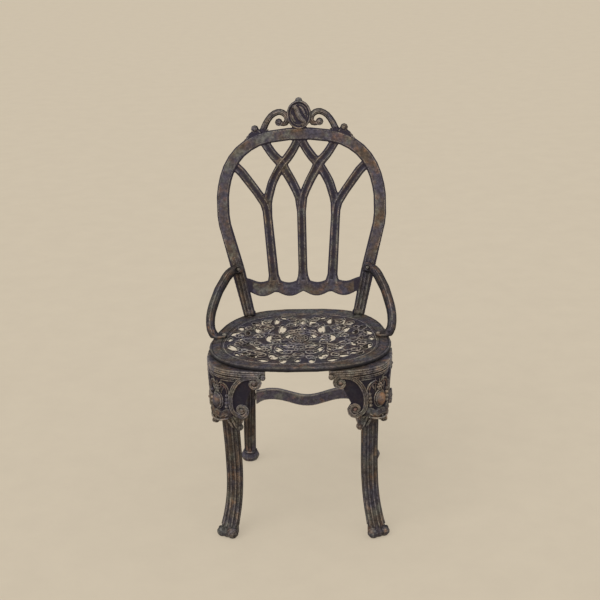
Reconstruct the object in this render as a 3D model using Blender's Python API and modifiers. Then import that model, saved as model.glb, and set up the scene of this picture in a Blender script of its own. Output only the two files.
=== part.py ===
"""Cast iron garden chair, in metres, +Z up, front towards -Y.

The chair is a set of iron castings bolted together: a pierced seat, a hooped back filled with
interlaced arches, two short arms, two cabriole front legs, two sabre rear legs and a waved rail
between the rear legs. Every left-hand piece is the mirror image of its right-hand twin.
"""
import math

import bmesh
import bpy
from mathutils import Matrix, Vector

# Fits between castings
FIT = 0.0003
HOLE_FIT = 0.0003
WELD = 0.00001
FLAT_ANGLE = math.radians(4.5)

# Seat
SEAT_TOP = 0.4135
SEAT_Y = -0.0551
SEAT_HALF_WIDTH = 0.203
SEAT_FRONT_REACH = 0.165
SEAT_REAR_REACH = 0.223
SEAT_REAR_TAPER = 0.12
FRONT_ROUNDNESS = 2.4
REAR_ROUNDNESS = 3.0
RIM_WIDTH = 0.030
RIM_REAR_WIDTH = 0.042
RIM_THICKNESS = 0.009
FIELD_THICKNESS = 0.0035
FIELD_DROP = 0.0017
RIM_LAP = 0.005
BOSS_SETBACK = 0.015
BOSS_WIDTH = 0.032
BOSS_LENGTH = 0.044
BOSS_RIB = 0.0035

# Back
BACK_LEAN = math.radians(7.0)
STILE_REAR_EDGE = 0.046
STILE_EDGE = 0.0165
STILE_FOOT_HEIGHT = 0.011
WAIST_X = 0.1515
WAIST_RISE = 0.112
HOOP_HALF_WIDTH = 0.1835
HOOP_RISE = 0.4275
HOOP_WIDTH = 0.029
HOOP_DEPTH = 0.014
BAR_WIDTH = 0.0193
BRANCH_WIDTH = 0.0215
BAR_DEPTH = 0.0095
MULLION_X = 0.068
MULLION_LEAN = 0.0125
SPLIT_RISE = 0.250
APEX_DROP = 0.010
RAIL_RISE = 0.082
RAIL_HEIGHT = 0.031
RAIL_DEPTH = 0.012
LOBE_DEPTH = 0.012
CREST_WIDTH = 0.0565
CREST_HEIGHT = 0.066
CREST_DEPTH = 0.011
CREST_LAP = 0.004
SCROLL_SPAN = 0.083
SCROLL_BAR = 0.0148
BALL_RADIUS = 0.0095
KNOB_REACH = 0.020
TENON_RADIUS = 0.0055
TENON_LENGTH = 0.038
PIN_DROP = 0.015

# Arms
ARM_RISE = 0.115
ARM_FOOT_SETBACK = 0.0295
ARM_FOOT_EDGE = 0.004
ARM_BULGE = 0.0235
ARM_RADIUS = 0.0117
ARM_END_INSET = 0.003
LUG_RADIUS = 0.013
LUG_DEPTH = 0.008
PAD_LENGTH = 0.0373
PAD_WIDTH = 0.026
PAD_THICKNESS = 0.007
ARM_BOLT_EDGE = 0.0255

# Front legs
KNEE_EDGE = 0.003
KNEE_FRONT_EDGE = 0.008
KNEE_SQUARENESS = 4.0
WING_REACH = 0.1115
WING_PLATE = 0.006
CAP_FLANGE = 0.028
CAP_THICKNESS = 0.006
BAND_HEIGHT = 0.0145
SCROLL_RIB = 0.0095
RIB_RISE = 0.005
UPPER_CURL_RADIUS = 0.015
LOWER_CURL_RADIUS = 0.0155
CURL_POINTS = 10
KNEE_HEIGHT = 0.1215
FRONT_SHAFT_RADIUS = 0.0178
ANKLE_INSET = 0.031
FOOT_KICK = 0.030
FOOT_RADIUS = 0.022
FOOT_HEIGHT = 0.024
LEG_TURN = math.radians(65.0)
ROSETTE_WIDTH = 0.026
ROSETTE_HEIGHT = 0.035
ROSETTE_DROP = 0.62
CUP_REACH = 0.036
CUP_DEPTH = 0.011
CUP_HEIGHT = 0.023
FLUTE_DEPTH = 0.0016

# Rear legs and the rail between them
REAR_SHAFT_RADIUS = 0.0142
REAR_KICK_X = 0.024
REAR_KICK_Y = 0.075
PAD_FOOT_RADIUS = 0.0235
PAD_FOOT_HEIGHT = 0.021
STRETCHER_Z = 0.189
STRETCHER_HEIGHT = 0.028
STRETCHER_DEPTH = 0.011
STRETCHER_SAG = 0.018
BOSS_REACH = 0.0165

# Fasteners
SCREW_RADIUS = 0.0025
HEAD_RADIUS = 0.005
HEAD_HEIGHT = 0.0035
NUT_RADIUS = 0.0055
NUT_HEIGHT = 0.0045
SCREW_BITE = 0.0055
STRETCHER_BITE = 0.014

IRON = (0.045, 0.038, 0.036, 1.0)
BOLT_IRON = (0.075, 0.055, 0.042, 1.0)

# Openings of the seat's right half: across and along as shares of the pierced field, measured from its
# widest line, then length and width in metres, turn in degrees and bend in metres
PIERCINGS = (
    (0.139, 0.700, 0.075, 0.014, 90, 0.002),
    (0.266, 0.460, 0.057, 0.015, 90, 0.002),
    (0.156, 0.215, 0.036, 0.013, 90, -0.002),
    (0.270, 0.090, 0.026, 0.016, 0, 0.003),
    (0.180, -0.133, 0.026, 0.019, 0, -0.003),
    (0.237, -0.370, 0.050, 0.016, 60, -0.002),
    (0.405, 0.155, 0.057, 0.011, 90, -0.003),
    (0.387, -0.290, 0.049, 0.011, 90, -0.002),
    (0.318, -0.660, 0.035, 0.017, 70, 0.001),
    (0.179, -0.837, 0.033, 0.012, 90, 0.0),
    (0.440, -0.815, 0.026, 0.016, 30, 0.001),
    (0.514, 0.707, 0.045, 0.019, 80, 0.002),
    (0.445, 0.497, 0.041, 0.016, 100, 0.001),
    (0.358, 0.751, 0.041, 0.009, 90, 0.001),
    (0.538, 0.204, 0.027, 0.018, 45, 0.0),
    (0.595, 0.431, 0.043, 0.012, 70, 0.002),
    (0.538, -0.222, 0.044, 0.012, 63, 0.002),
    (0.800, 0.495, 0.028, 0.017, 60, 0.0),
    (0.867, 0.320, 0.034, 0.015, 120, -0.002),
    (0.920, 0.100, 0.023, 0.009, 90, 0.0),
    (0.775, 0.110, 0.031, 0.010, 90, 0.001),
    (0.855, -0.237, 0.044, 0.018, 60, -0.002),
    (0.705, -0.489, 0.026, 0.014, 45, 0.0),
    (0.780, -0.540, 0.022, 0.009, 60, -0.001),
    (0.266, 0.873, 0.020, 0.012, 60, 0.0),
    (0.647, 0.110, 0.024, 0.015, 30, 0.001),
    (0.682, -0.089, 0.032, 0.013, 120, 0.001),
    (0.636, 0.652, 0.028, 0.014, 60, 0.0),
    (0.717, 0.331, 0.031, 0.011, 80, 0.001),
    (0.578, -0.630, 0.026, 0.018, 20, 0.001),
)
# Openings on the seat's middle line: along, length and width
MIDDLE_PIERCINGS = (
    (0.700, 0.033, 0.010),
    (0.440, 0.043, 0.019),
    (-0.330, 0.027, 0.019),
    (-0.640, 0.021, 0.022),
    (-0.840, 0.019, 0.011),
)
LEAF_POINTS = 8
SMALL_LEAF = 0.0275

UNDERSIDE = SEAT_TOP - RIM_THICKNESS
UP = Vector((0.0, 0.0, 1.0))


def clear_scene():
    for old in list(bpy.data.objects):
        bpy.data.objects.remove(old)


def make_collection(name):
    group = bpy.data.collections.new(name)
    bpy.context.scene.collection.children.link(group)
    return group


clear_scene()
CHAIR = make_collection("garden_chair")
TOOLS = make_collection("tools")


def iron(name, colour, roughness):
    """Painted iron, worn along the edges."""
    material = bpy.data.materials.new(name)
    material.use_nodes = True
    shader = material.node_tree.nodes["Principled BSDF"]
    shader.inputs["Base Color"].default_value = colour
    shader.inputs["Roughness"].default_value = roughness
    shader.inputs["Metallic"].default_value = 0.6
    return material


# Making and joining solids

def tool_object(name, data):
    """An object that only helps to make others."""
    item = bpy.data.objects.new(name, data)
    item.hide_render = True
    item.display_type = "WIRE"
    TOOLS.objects.link(item)
    return item


def tidy_mesh(mesh):
    """Weld doubled points, drop slivers and turn all faces outwards."""
    work = bmesh.new()
    work.from_mesh(mesh)
    bmesh.ops.remove_doubles(work, verts=work.verts, dist=WELD)
    bmesh.ops.dissolve_degenerate(work, edges=work.edges, dist=WELD)
    bmesh.ops.recalc_face_normals(work, faces=work.faces)
    work.to_mesh(mesh)
    work.free()
    return mesh


def solid_from(item, name):
    """The evaluated shape of a curve or a modified object, as a helper mesh in world space."""
    bpy.context.view_layer.update()
    view = bpy.context.evaluated_depsgraph_get()
    mesh = bpy.data.meshes.new_from_object(item.evaluated_get(view))
    mesh.transform(item.matrix_world)
    bpy.data.objects.remove(item)
    return tool_object(name, tidy_mesh(mesh))


def combine(body, others, operation):
    """Body joined with, or cut by, all the others at once."""
    group = bpy.data.collections.new("operands")
    for other in others:
        group.objects.link(other)
    change = body.modifiers.new(operation.lower(), "BOOLEAN")
    change.operation = operation
    change.solver = "EXACT"
    change.operand_type = "COLLECTION"
    change.collection = group
    result = solid_from(body, body.name)
    for other in others:
        bpy.data.objects.remove(other)
    bpy.data.collections.remove(group)
    return result


def union(parts):
    """All parts as one casting. They are joined one after another, largest first."""
    body = parts[0]
    for other in parts[1:]:
        body = combine(body, [other], "UNION")
    return body


def cut(body, cutters):
    for cutter in cutters:
        body = combine(body, [cutter], "DIFFERENCE")
    return body


def merge_flat_faces(mesh):
    """Join neighbouring faces that lie in one plane, as a casting's flat faces do."""
    work = bmesh.new()
    work.from_mesh(mesh)
    bmesh.ops.dissolve_limit(work, angle_limit=FLAT_ANGLE, verts=work.verts, edges=work.edges)
    bmesh.ops.triangulate(work, faces=work.faces)
    bmesh.ops.dissolve_degenerate(work, edges=work.edges, dist=WELD)
    work.to_mesh(mesh)
    work.free()


def finish(name, body, material, angle=35.0):
    """Move a finished solid into the chair under its own name."""
    mesh = body.data
    mesh.name = name
    bpy.data.objects.remove(body)
    merge_flat_faces(mesh)
    mesh.materials.clear()
    mesh.materials.append(material)
    mesh.shade_smooth()
    mesh.set_sharp_from_angle(angle=math.radians(angle))
    item = bpy.data.objects.new(name, mesh)
    CHAIR.objects.link(item)
    return item


def mirror_twin(item, name):
    """The left-hand twin of a right-hand piece."""
    twin = bpy.data.objects.new(name, item.data)
    twin.scale = (-1.0, 1.0, 1.0)
    CHAIR.objects.link(twin)
    return twin


def loft(name, rings, closed=False):
    """Skin over rings of points. A closed loft joins its last ring to its first."""
    work = bmesh.new()
    loops = [[work.verts.new(point) for point in ring] for ring in rings]
    pairs = list(zip(loops, loops[1:]))
    if closed:
        pairs.append((loops[-1], loops[0]))
    else:
        work.faces.new(loops[0])
        work.faces.new(loops[-1])
    for low, high in pairs:
        count = len(low)
        for i in range(count):
            work.faces.new((low[i], low[(i + 1) % count], high[(i + 1) % count], high[i]))
    bmesh.ops.recalc_face_normals(work, faces=work.faces)
    mesh = bpy.data.meshes.new(name)
    work.to_mesh(mesh)
    work.free()
    return tool_object(name, mesh)


def smooth(points, steps):
    """Points along one smooth curve through the given points."""
    points = [Vector(point) for point in points]
    ends = [2 * points[0] - points[1]] + points + [2 * points[-1] - points[-2]]
    curve = []
    for a, b, c, d in zip(ends, ends[1:], ends[2:], ends[3:]):
        for step in range(steps):
            t = step / steps
            curve.append(0.5 * (2 * b + (c - a) * t + (2 * a - 5 * b + 4 * c - d) * t ** 2
                                + (3 * b - a - 3 * c + d) * t ** 3))
    curve.append(points[-1])
    return curve


def spline_object(name, loops, cyclic, flat, radii=None):
    """A curve object of straight-sided splines through the given points."""
    curve = bpy.data.curves.new(name, "CURVE")
    curve.dimensions = "2D" if flat else "3D"
    for points in loops:
        spline = curve.splines.new("POLY")
        spline.points.add(len(points) - 1)
        for i, point in enumerate(points):
            place = Vector(point).to_3d()
            spline.points[i].co = (place.x, place.y, place.z, 1.0)
            if radii:
                spline.points[i].radius = radii[i]
        spline.use_cyclic_u = cyclic
    return tool_object(name, curve)


def spread(values, count):
    """Values evenly spread over count points, with straight runs between them."""
    result = []
    for i in range(count):
        place = i / (count - 1) * (len(values) - 1)
        low = min(int(place), len(values) - 2)
        share = place - low
        result.append(values[low] * (1 - share) + values[low + 1] * share)
    return result


def round_bar(name, points, radius, taper=(1.0, 1.0), sides=2, flat=False):
    """A round bar along the points, closed at both ends."""
    item = spline_object(name, [points], False, flat, spread(taper, len(points)))
    item.data.bevel_depth = radius
    item.data.bevel_resolution = sides
    item.data.use_fill_caps = True
    return solid_from(item, name)


def shaped_bar(name, points, section, taper=(1.0, 1.0), flat=True, cyclic=False):
    """A bar with its own section along the points, closed at both ends."""
    profile = spline_object(name + "_section", [section], True, True)
    item = spline_object(name, [points], cyclic, flat, spread(taper, len(points)))
    item.data.bevel_mode = "OBJECT"
    item.data.bevel_object = profile
    item.data.use_fill_caps = not cyclic
    result = solid_from(item, name)
    bpy.data.objects.remove(profile)
    return result


def plate(name, loops, thickness, middle=0.0):
    """A flat plate in the XY plane. Loops after the first are its openings."""
    item = spline_object(name, loops, True, True)
    item.data.fill_mode = "BOTH"
    item.data.extrude = thickness / 2
    item.location.z = middle
    return solid_from(item, name)


def ellipse(width, height, count, centre=(0.0, 0.0)):
    turns = [2 * math.pi * i / count for i in range(count)]
    return [Vector((centre[0] + width / 2 * math.cos(t), centre[1] + height / 2 * math.sin(t)))
            for t in turns]


def turned(name, profile, steps):
    """A solid turned about its Z axis. The profile runs from the axis, down the outside, to the axis."""
    mesh = bpy.data.meshes.new(name)
    points = [(radius, 0.0, height) for radius, height in profile]
    mesh.from_pydata(points, [(i, i + 1) for i in range(len(points) - 1)], [])
    item = tool_object(name, mesh)
    screw = item.modifiers.new("turn", "SCREW")
    screw.steps = steps
    screw.render_steps = steps
    screw.use_merge_vertices = True
    screw.merge_threshold = WELD
    return solid_from(item, name)


def ball(name, centre, radius, segments=8, rings=5):
    work = bmesh.new()
    size = Matrix.Diagonal((*radius, 1.0)) if isinstance(radius, tuple) else Matrix.Scale(radius, 4)
    bmesh.ops.create_uvsphere(work, u_segments=segments, v_segments=rings, radius=1.0,
                              matrix=Matrix.Translation(centre) @ size)
    mesh = bpy.data.meshes.new(name)
    work.to_mesh(mesh)
    work.free()
    return tool_object(name, mesh)


def rod(name, start, end, radius, segments=8):
    """A straight round rod between two points."""
    start = Vector(start)
    axis = Vector(end) - start
    work = bmesh.new()
    bmesh.ops.create_cone(work, cap_ends=True, segments=segments, radius1=radius, radius2=radius,
                          depth=axis.length)
    turn = UP.rotation_difference(axis).to_matrix().to_4x4()
    bmesh.ops.transform(work, matrix=Matrix.Translation(start + axis / 2) @ turn, verts=work.verts)
    mesh = bpy.data.meshes.new(name)
    work.to_mesh(mesh)
    work.free()
    return tool_object(name, mesh)


def block(name, low, high):
    low, high = Vector(low), Vector(high)
    work = bmesh.new()
    size = Matrix.Diagonal((*(high - low), 1.0))
    bmesh.ops.create_cube(work, size=1.0, matrix=Matrix.Translation((low + high) / 2) @ size)
    mesh = bpy.data.meshes.new(name)
    work.to_mesh(mesh)
    work.free()
    return tool_object(name, mesh)


# The seat's outline, which the legs, arms and stiles follow

def resample(points, count):
    """Evenly spaced points on a closed loop."""
    loop = points + [points[0]]
    lengths = [0.0]
    for a, b in zip(loop, loop[1:]):
        lengths.append(lengths[-1] + (b - a).length)
    result = []
    k = 0
    for i in range(count):
        target = lengths[-1] * i / count
        while lengths[k + 1] < target:
            k += 1
        share = (target - lengths[k]) / (lengths[k + 1] - lengths[k])
        result.append(loop[k].lerp(loop[k + 1], share))
    return result


def power(value, exponent):
    return math.copysign(abs(value) ** exponent, value)


def outline(side_edge, front_edge, rear_edge, count):
    """The seat's outline set in by an edge at its sides, front and rear, from the front centre round."""
    half = SEAT_HALF_WIDTH - side_edge
    front = SEAT_FRONT_REACH - front_edge
    rear = SEAT_REAR_REACH - rear_edge
    points = []
    for i in range(720):
        angle = 2 * math.pi * i / 720 - math.pi / 2
        across, along = math.cos(angle), math.sin(angle)
        if along < 0:
            share = 2 / FRONT_ROUNDNESS
            points.append(Vector((half * power(across, share), SEAT_Y + front * power(along, share))))
        else:
            share = 2 / REAR_ROUNDNESS
            reach = power(along, share)
            width = half * (1 - SEAT_REAR_TAPER * reach)
            points.append(Vector((width * power(across, share), SEAT_Y + rear * reach)))
    return resample(points, count)


def rim_half_width(y, edge=0.0):
    """Half the seat's width at a place behind its widest line, set in by an edge."""
    reach = (y - SEAT_Y) / (SEAT_REAR_REACH - edge)
    taper = 1 - SEAT_REAR_TAPER * reach
    return (SEAT_HALF_WIDTH - edge) * taper * (1 - reach ** REAR_ROUNDNESS) ** (1 / REAR_ROUNDNESS)


STILE_Y = SEAT_Y + SEAT_REAR_REACH - STILE_REAR_EDGE
STILE_X = rim_half_width(STILE_Y) - STILE_EDGE
ARM_FOOT_Y = SEAT_Y + ARM_FOOT_SETBACK
ARM_BOLT_X = rim_half_width(ARM_FOOT_Y) - ARM_BOLT_EDGE
BACK_FRAME = (Matrix.Translation((0.0, STILE_Y, SEAT_TOP))
              @ Matrix.Rotation(math.pi / 2 - BACK_LEAN, 4, "X"))


# Seat casting

def leaf(x, y, length, width, turn, bend):
    """A leaf-shaped opening, pointed at both ends and bent sideways."""
    angle = math.radians(turn)
    ahead = Vector((math.cos(angle), math.sin(angle)))
    aside = Vector((-math.sin(angle), math.cos(angle)))
    points = []
    count = LEAF_POINTS if length > SMALL_LEAF else LEAF_POINTS - 2
    for i in range(count):
        t = 2 * math.pi * i / count
        run = math.cos(t)
        side = width / 2 * math.sin(t) * (1 - 0.25 * run) + bend * (1 - 2 * run ** 2)
        points.append(Vector((x, y)) + ahead * (length / 2 * run) + aside * side)
    return points


def field_place(across, along):
    """A place in the pierced field from its shares across and along."""
    reach = SEAT_REAR_REACH - RIM_REAR_WIDTH if along > 0 else SEAT_FRONT_REACH - RIM_WIDTH
    return (SEAT_HALF_WIDTH - RIM_WIDTH) * across, SEAT_Y + reach * along


def seat_openings():
    grow = (SEAT_HALF_WIDTH - RIM_WIDTH) / FIELD_HALF_WIDTH_DRAWN
    openings = []
    for across, along, length, width, turn, bend in PIERCINGS:
        x, y = field_place(across, along)
        openings.append(leaf(x, y, length * grow, width * grow, turn, bend))
        openings.append(leaf(-x, y, length * grow, width * grow, 180 - turn, -bend))
    for along, length, width in MIDDLE_PIERCINGS:
        x, y = field_place(0.0, along)
        openings.append(leaf(x, y, length * grow, width * grow, 90, 0.0))
    return openings


FIELD_HALF_WIDTH_DRAWN = 0.173
RIM_STEPS = 56
# The rim's section: share from the outer to the inner edge, and drop below its top
RIM_SECTION = ((0.0, 0.0030), (0.09, 0.0), (0.95, 0.0), (1.0, 0.0012), (1.0, 0.0090), (0.07, 0.0090),
               (0.0, 0.0065))


def make_seat(material):
    outer = outline(0.0, 0.0, 0.0, RIM_STEPS)
    inner = outline(RIM_WIDTH, RIM_WIDTH, RIM_REAR_WIDTH, RIM_STEPS)
    rings = []
    for out, inn in zip(outer, inner):
        ring = []
        for share, drop in RIM_SECTION:
            place = out.lerp(inn, share)
            height = SEAT_TOP - drop * RIM_THICKNESS / RIM_SECTION[4][1]
            ring.append((place.x, place.y, height))
        rings.append(ring)
    rim = loft("rim", rings, closed=True)

    edge = outline(RIM_WIDTH - RIM_LAP, RIM_WIDTH - RIM_LAP, RIM_REAR_WIDTH - RIM_LAP, RIM_STEPS)
    middle = SEAT_TOP - FIELD_DROP - FIELD_THICKNESS / 2
    field = plate("field", [edge] + seat_openings(), FIELD_THICKNESS, middle)

    boss_y = SEAT_Y + BOSS_SETBACK
    ring_line = [place.to_3d() for place in ellipse(BOSS_WIDTH, BOSS_LENGTH, 16, (0.0, boss_y))]
    ring_item = spline_object("boss_ring", [ring_line], True, True)
    ring_item.data.bevel_depth = BOSS_RIB
    ring_item.data.bevel_resolution = 0
    ring_item.location.z = SEAT_TOP - FIELD_DROP - 0.0005
    boss_ring = solid_from(ring_item, "boss_ring")
    dome = ball("boss", (0.0, boss_y, SEAT_TOP - FIELD_DROP - 0.001),
                (BOSS_WIDTH / 4, BOSS_LENGTH / 3.6, BOSS_RIB * 1.2))

    seat = union([rim, field, boss_ring, dome])
    cutters = []
    for side in (-1, 1):
        tenon = (side * STILE_X, STILE_Y)
        cutters.append(rod("tenon_hole", (*tenon, UNDERSIDE - 0.01), (*tenon, SEAT_TOP + 0.01),
                           TENON_RADIUS + HOLE_FIT, 12))
        bolt = (side * ARM_BOLT_X, ARM_FOOT_Y)
        cutters.append(rod("bolt_hole", (*bolt, UNDERSIDE - 0.01), (*bolt, SEAT_TOP + 0.01),
                           SCREW_RADIUS + HOLE_FIT))
        for place in FLANGE_SCREWS:
            spot = (side * place.x, place.y)
            cutters.append(rod("screw_hole", (*spot, UNDERSIDE - 0.01),
                               (*spot, UNDERSIDE + SCREW_BITE + FIT), SCREW_RADIUS + HOLE_FIT))
    finish("seat_casting", cut(seat, cutters), material)


# Back casting, drawn flat with its front up and then stood on the seat

HOOP_STEPS = 2


def hoop_line():
    """The hoop's centre line on the right, from the seat to the crown."""
    rise = HOOP_RISE - WAIST_RISE
    shares = ((0.899, 0.146), (0.981, 0.333), (1.0, 0.475), (0.980, 0.612),
              (0.903, 0.758), (0.757, 0.876), (0.535, 0.958), (0.275, 0.992), (0.0, 1.0))
    points = [(STILE_X - 0.001, -0.006, 0.0), (WAIST_X, WAIST_RISE, 0.0)]
    points += [(HOOP_HALF_WIDTH * across, WAIST_RISE + rise * along, 0.0) for across, along in shares]
    mirrored = [(-x, y, z) for x, y, z in reversed(points[:-1])]
    whole = smooth(points + mirrored, HOOP_STEPS)
    return whole, whole[:HOOP_STEPS * (len(points) - 1) + 1]


def hoop_height_at(half, x):
    """How high the hoop's upper half crosses a place across."""
    upper = [point for point in half if point.y > WAIST_RISE + 0.1]
    for a, b in zip(upper, upper[1:]):
        if b.x <= x <= a.x:
            return a.y + (b.y - a.y) * (a.x - x) / (a.x - b.x)
    return upper[-1].y


def reeded_section(width, depth, lift):
    """Two round reeds with a groove between them."""
    half = width / 2
    return [(-half, lift - depth / 2), (-half, lift + depth * 0.2), (-half * 0.6, lift + depth / 2),
            (0.0, lift + depth * 0.12), (half * 0.6, lift + depth / 2), (half, lift + depth * 0.2),
            (half, lift - depth / 2)]


def tracery(half):
    """Three mullions whose branches cross as pointed arches."""
    split = Vector((MULLION_X + MULLION_LEAN, SPLIT_RISE, 0.0))
    foot = Vector((MULLION_X, RAIL_RISE - 0.006, 0.0))
    crown_room = hoop_height_at(half, 0.0) - split.y
    outer_x = 0.866 * HOOP_HALF_WIDTH
    outer_top = Vector((outer_x, hoop_height_at(half, outer_x), 0.0))
    inner_top = Vector((0.0, split.y + crown_room - APEX_DROP, 0.0))
    cross_x = 0.47 * HOOP_HALF_WIDTH
    cross_top = Vector((cross_x, hoop_height_at(half, cross_x), 0.0))
    centre_foot = Vector((0.0, foot.y, 0.0))
    centre_split = Vector((0.0, split.y + 0.010, 0.0))

    def arch(start, end, shares):
        """Points from start to end, at shares across and up."""
        return [Vector((start.x + (end.x - start.x) * across, start.y + (end.y - start.y) * up, 0.0))
                for across, up in shares]

    side = [foot, foot.lerp(split, 0.12), foot.lerp(split, 0.55), split]
    outer = side + arch(split, outer_top, ((0.15, 0.26), (0.41, 0.52), (0.71, 0.80), (1.0, 1.0)))
    inner = [foot.lerp(split, 0.9)] + arch(split, inner_top, (
        (0.02, 0.10), (0.12, 0.27), (0.30, 0.465), (0.54, 0.67), (0.78, 0.84), (1.0, 1.0)))
    crossing = [centre_foot.lerp(centre_split, 0.94)] + arch(centre_split, cross_top, (
        (0.06, 0.13), (0.23, 0.32), (0.50, 0.56), (0.76, 0.78), (1.0, 1.0)))
    flare = (1.75, 1.1, 1.0, 1.0, 1.0, 1.0, 1.0, 1.0)
    bars = [shaped_bar("mullion", [centre_foot, centre_foot.lerp(centre_split, 0.1),
                                   centre_foot.lerp(centre_split, 0.2), centre_split],
                       reeded_section(BAR_WIDTH * 1.08, BAR_DEPTH, 0.0), (1.75, 1.15, 1.0, 1.0))]
    for mirror in (1, -1):
        for line, taper, lift in ((outer, flare, 0.0002), (inner, (1.0, 1.0), -0.0003),
                                  (crossing, (1.0, 1.0), 0.0005)):
            points = [(mirror * point.x, point.y, 0.0) for point in smooth(line, 2)]
            bars.append(shaped_bar("branch", points,
                                   reeded_section(BRANCH_WIDTH, BAR_DEPTH, lift + 0.0001 * mirror), taper))
    return bars


def scalloped_rail():
    """The lower rail: a waved top edge, and four hanging lobes below."""
    reach = STILE_X + 0.006
    bay = MULLION_X
    top, bottom = [], []
    for i in range(33):
        x = -reach + 2 * reach * i / 32
        wave = 0.004 * math.cos(2 * math.pi * x / bay)
        lift = 0.004 * max(0.0, (abs(x) - bay) / (reach - bay))
        top.append(Vector((x, RAIL_RISE + wave + lift)))
        lobe = abs(math.sin(math.pi * x / (0.94 * bay)))
        bottom.append(Vector((x, RAIL_RISE - RAIL_HEIGHT + LOBE_DEPTH * 0.65 - LOBE_DEPTH * lobe)))
    return plate("rail", [bottom + list(reversed(top))], RAIL_DEPTH)


def crest(half):
    """An oval boss between two scrolls, with small balls and leaves where they spring from the hoop."""
    top = half[-1].y + HOOP_WIDTH / 2
    middle = top + CREST_HEIGHT / 2 - CREST_LAP
    base = plate("cartouche", [ellipse(CREST_WIDTH, CREST_HEIGHT, 20, (0.0, middle))], CREST_DEPTH)
    rim_oval = ellipse(CREST_WIDTH * 0.9, CREST_HEIGHT * 0.91, 20, (0.0, middle))
    ring_line = [place.to_3d() for place in rim_oval]
    ring_item = spline_object("cartouche_rim", [ring_line], True, True)
    ring_item.data.bevel_depth = 0.0034
    ring_item.data.bevel_resolution = 0
    ring_item.location.z = CREST_DEPTH / 2
    rim = solid_from(ring_item, "cartouche_rim")
    leaf_line = smooth([(-0.011, 0.014, 0.0), (-0.006, 0.008, 0.0),
                        (0.004, -0.006, 0.0), (0.012, -0.015, 0.0)], 2)
    leaf_line = [Vector((x, middle + y, CREST_DEPTH / 2)) for x, y, z in leaf_line]
    leaf_rib = round_bar("cartouche_leaf", leaf_line, 0.0042, (0.4, 1.2, 1.0, 1.2, 0.4), 1, True)
    bud = ball("bud", (0.0, middle + CREST_HEIGHT / 2 + 0.001, 0.0), (0.0085, 0.006, CREST_DEPTH / 2))
    stem_y = top - 0.010
    pieces = [base, rim, leaf_rib, bud]
    for mirror in (1, -1):
        line = [(SCROLL_SPAN + 0.003, stem_y), (SCROLL_SPAN - 0.006, top + 0.010),
                (SCROLL_SPAN - 0.018, top + 0.027), (SCROLL_SPAN - 0.033, top + 0.0355),
                (SCROLL_SPAN - 0.046, top + 0.034), (SCROLL_SPAN - 0.0555, top + 0.023),
                (SCROLL_SPAN - 0.052, top + 0.010), (SCROLL_SPAN - 0.041, top + 0.0085)]
        points = smooth([(mirror * x, y, 0.0002 * mirror) for x, y in line], 2)
        pieces.append(round_bar("scroll", points, SCROLL_BAR / 2, (1.15, 1.0, 1.0, 0.95, 0.7), 1, True))
        pieces.append(ball("curl", (mirror * (SCROLL_SPAN - 0.036), top + 0.0125, 0.0), BALL_RADIUS))
        knob_x = SCROLL_SPAN + KNOB_REACH
        knob_y = hoop_height_at(half, knob_x) + HOOP_WIDTH / 2 + 0.014
        pieces.append(ball("knob", (mirror * knob_x, knob_y, 0.0), BALL_RADIUS))
        # The leaf lies along the hoop's outer edge: place across from the knob, and height over that edge
        leaf_line = [(knob_x + across, hoop_height_at(half, knob_x + across) + HOOP_WIDTH / 2 + over)
                     for across, over in ((-0.010, 0.002), (0.001, 0.0055), (0.010, 0.004), (0.019, 0.001))]
        spray = smooth([(mirror * x, y, 0.0) for x, y in leaf_line], 1)
        pieces.append(round_bar("spray", spray, 0.0075, (0.8, 1.0, 0.85, 0.5), 1, True))
    return pieces


def make_back(material):
    whole, half = hoop_line()
    depth, width = HOOP_DEPTH / 2, HOOP_WIDTH / 2
    section = [(-width, depth * 0.45), (-width * 0.78, depth), (width * 0.78, depth), (width, depth * 0.45),
               (width * 0.94, -depth), (-width * 0.94, -depth)]
    taper = [0.95, 0.96] + [1.0] * 17 + [0.96, 0.95]
    hoop = shaped_bar("hoop", whole, section, taper)
    parts = [hoop, scalloped_rail()] + tracery(half) + crest(half)
    back = union(parts)
    back.data.transform(BACK_FRAME)
    feet = [ball("stile_foot", (side * STILE_X, STILE_Y, SEAT_TOP + STILE_FOOT_HEIGHT * 0.6),
                 (HOOP_WIDTH * 0.53, HOOP_DEPTH * 0.85, STILE_FOOT_HEIGHT)) for side in (-1, 1)]
    back = union([back] + feet)
    floor = block("floor", (-0.4, STILE_Y - 0.1, SEAT_TOP - 0.1), (0.4, STILE_Y + 0.1, SEAT_TOP + FIT))
    back = cut(back, [floor])
    tenons = [rod("tenon", (side * STILE_X, STILE_Y, SEAT_TOP + 0.003),
                  (side * STILE_X, STILE_Y, SEAT_TOP - TENON_LENGTH), TENON_RADIUS, 12) for side in (-1, 1)]
    back = union([back] + tenons)
    cutters = []
    for side in (-1, 1):
        ends = [BACK_FRAME @ Vector((side * LUG_X, ARM_RISE, z)) for z in (-HOOP_DEPTH, HOOP_DEPTH)]
        cutters.append(rod("lug_hole", *ends, SCREW_RADIUS + HOLE_FIT))
        place = Vector((side * STILE_X, STILE_Y, PIN_Z))
        across = Vector((0.0, 2 * TENON_RADIUS, 0.0))
        cutters.append(rod("pin_hole", place - across, place + across, SCREW_RADIUS + HOLE_FIT))
    finish("back_casting", cut(back, cutters), material)


# Arms

LUG_X = WAIST_X + 0.0005
PIN_Z = UNDERSIDE - PIN_DROP


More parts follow.
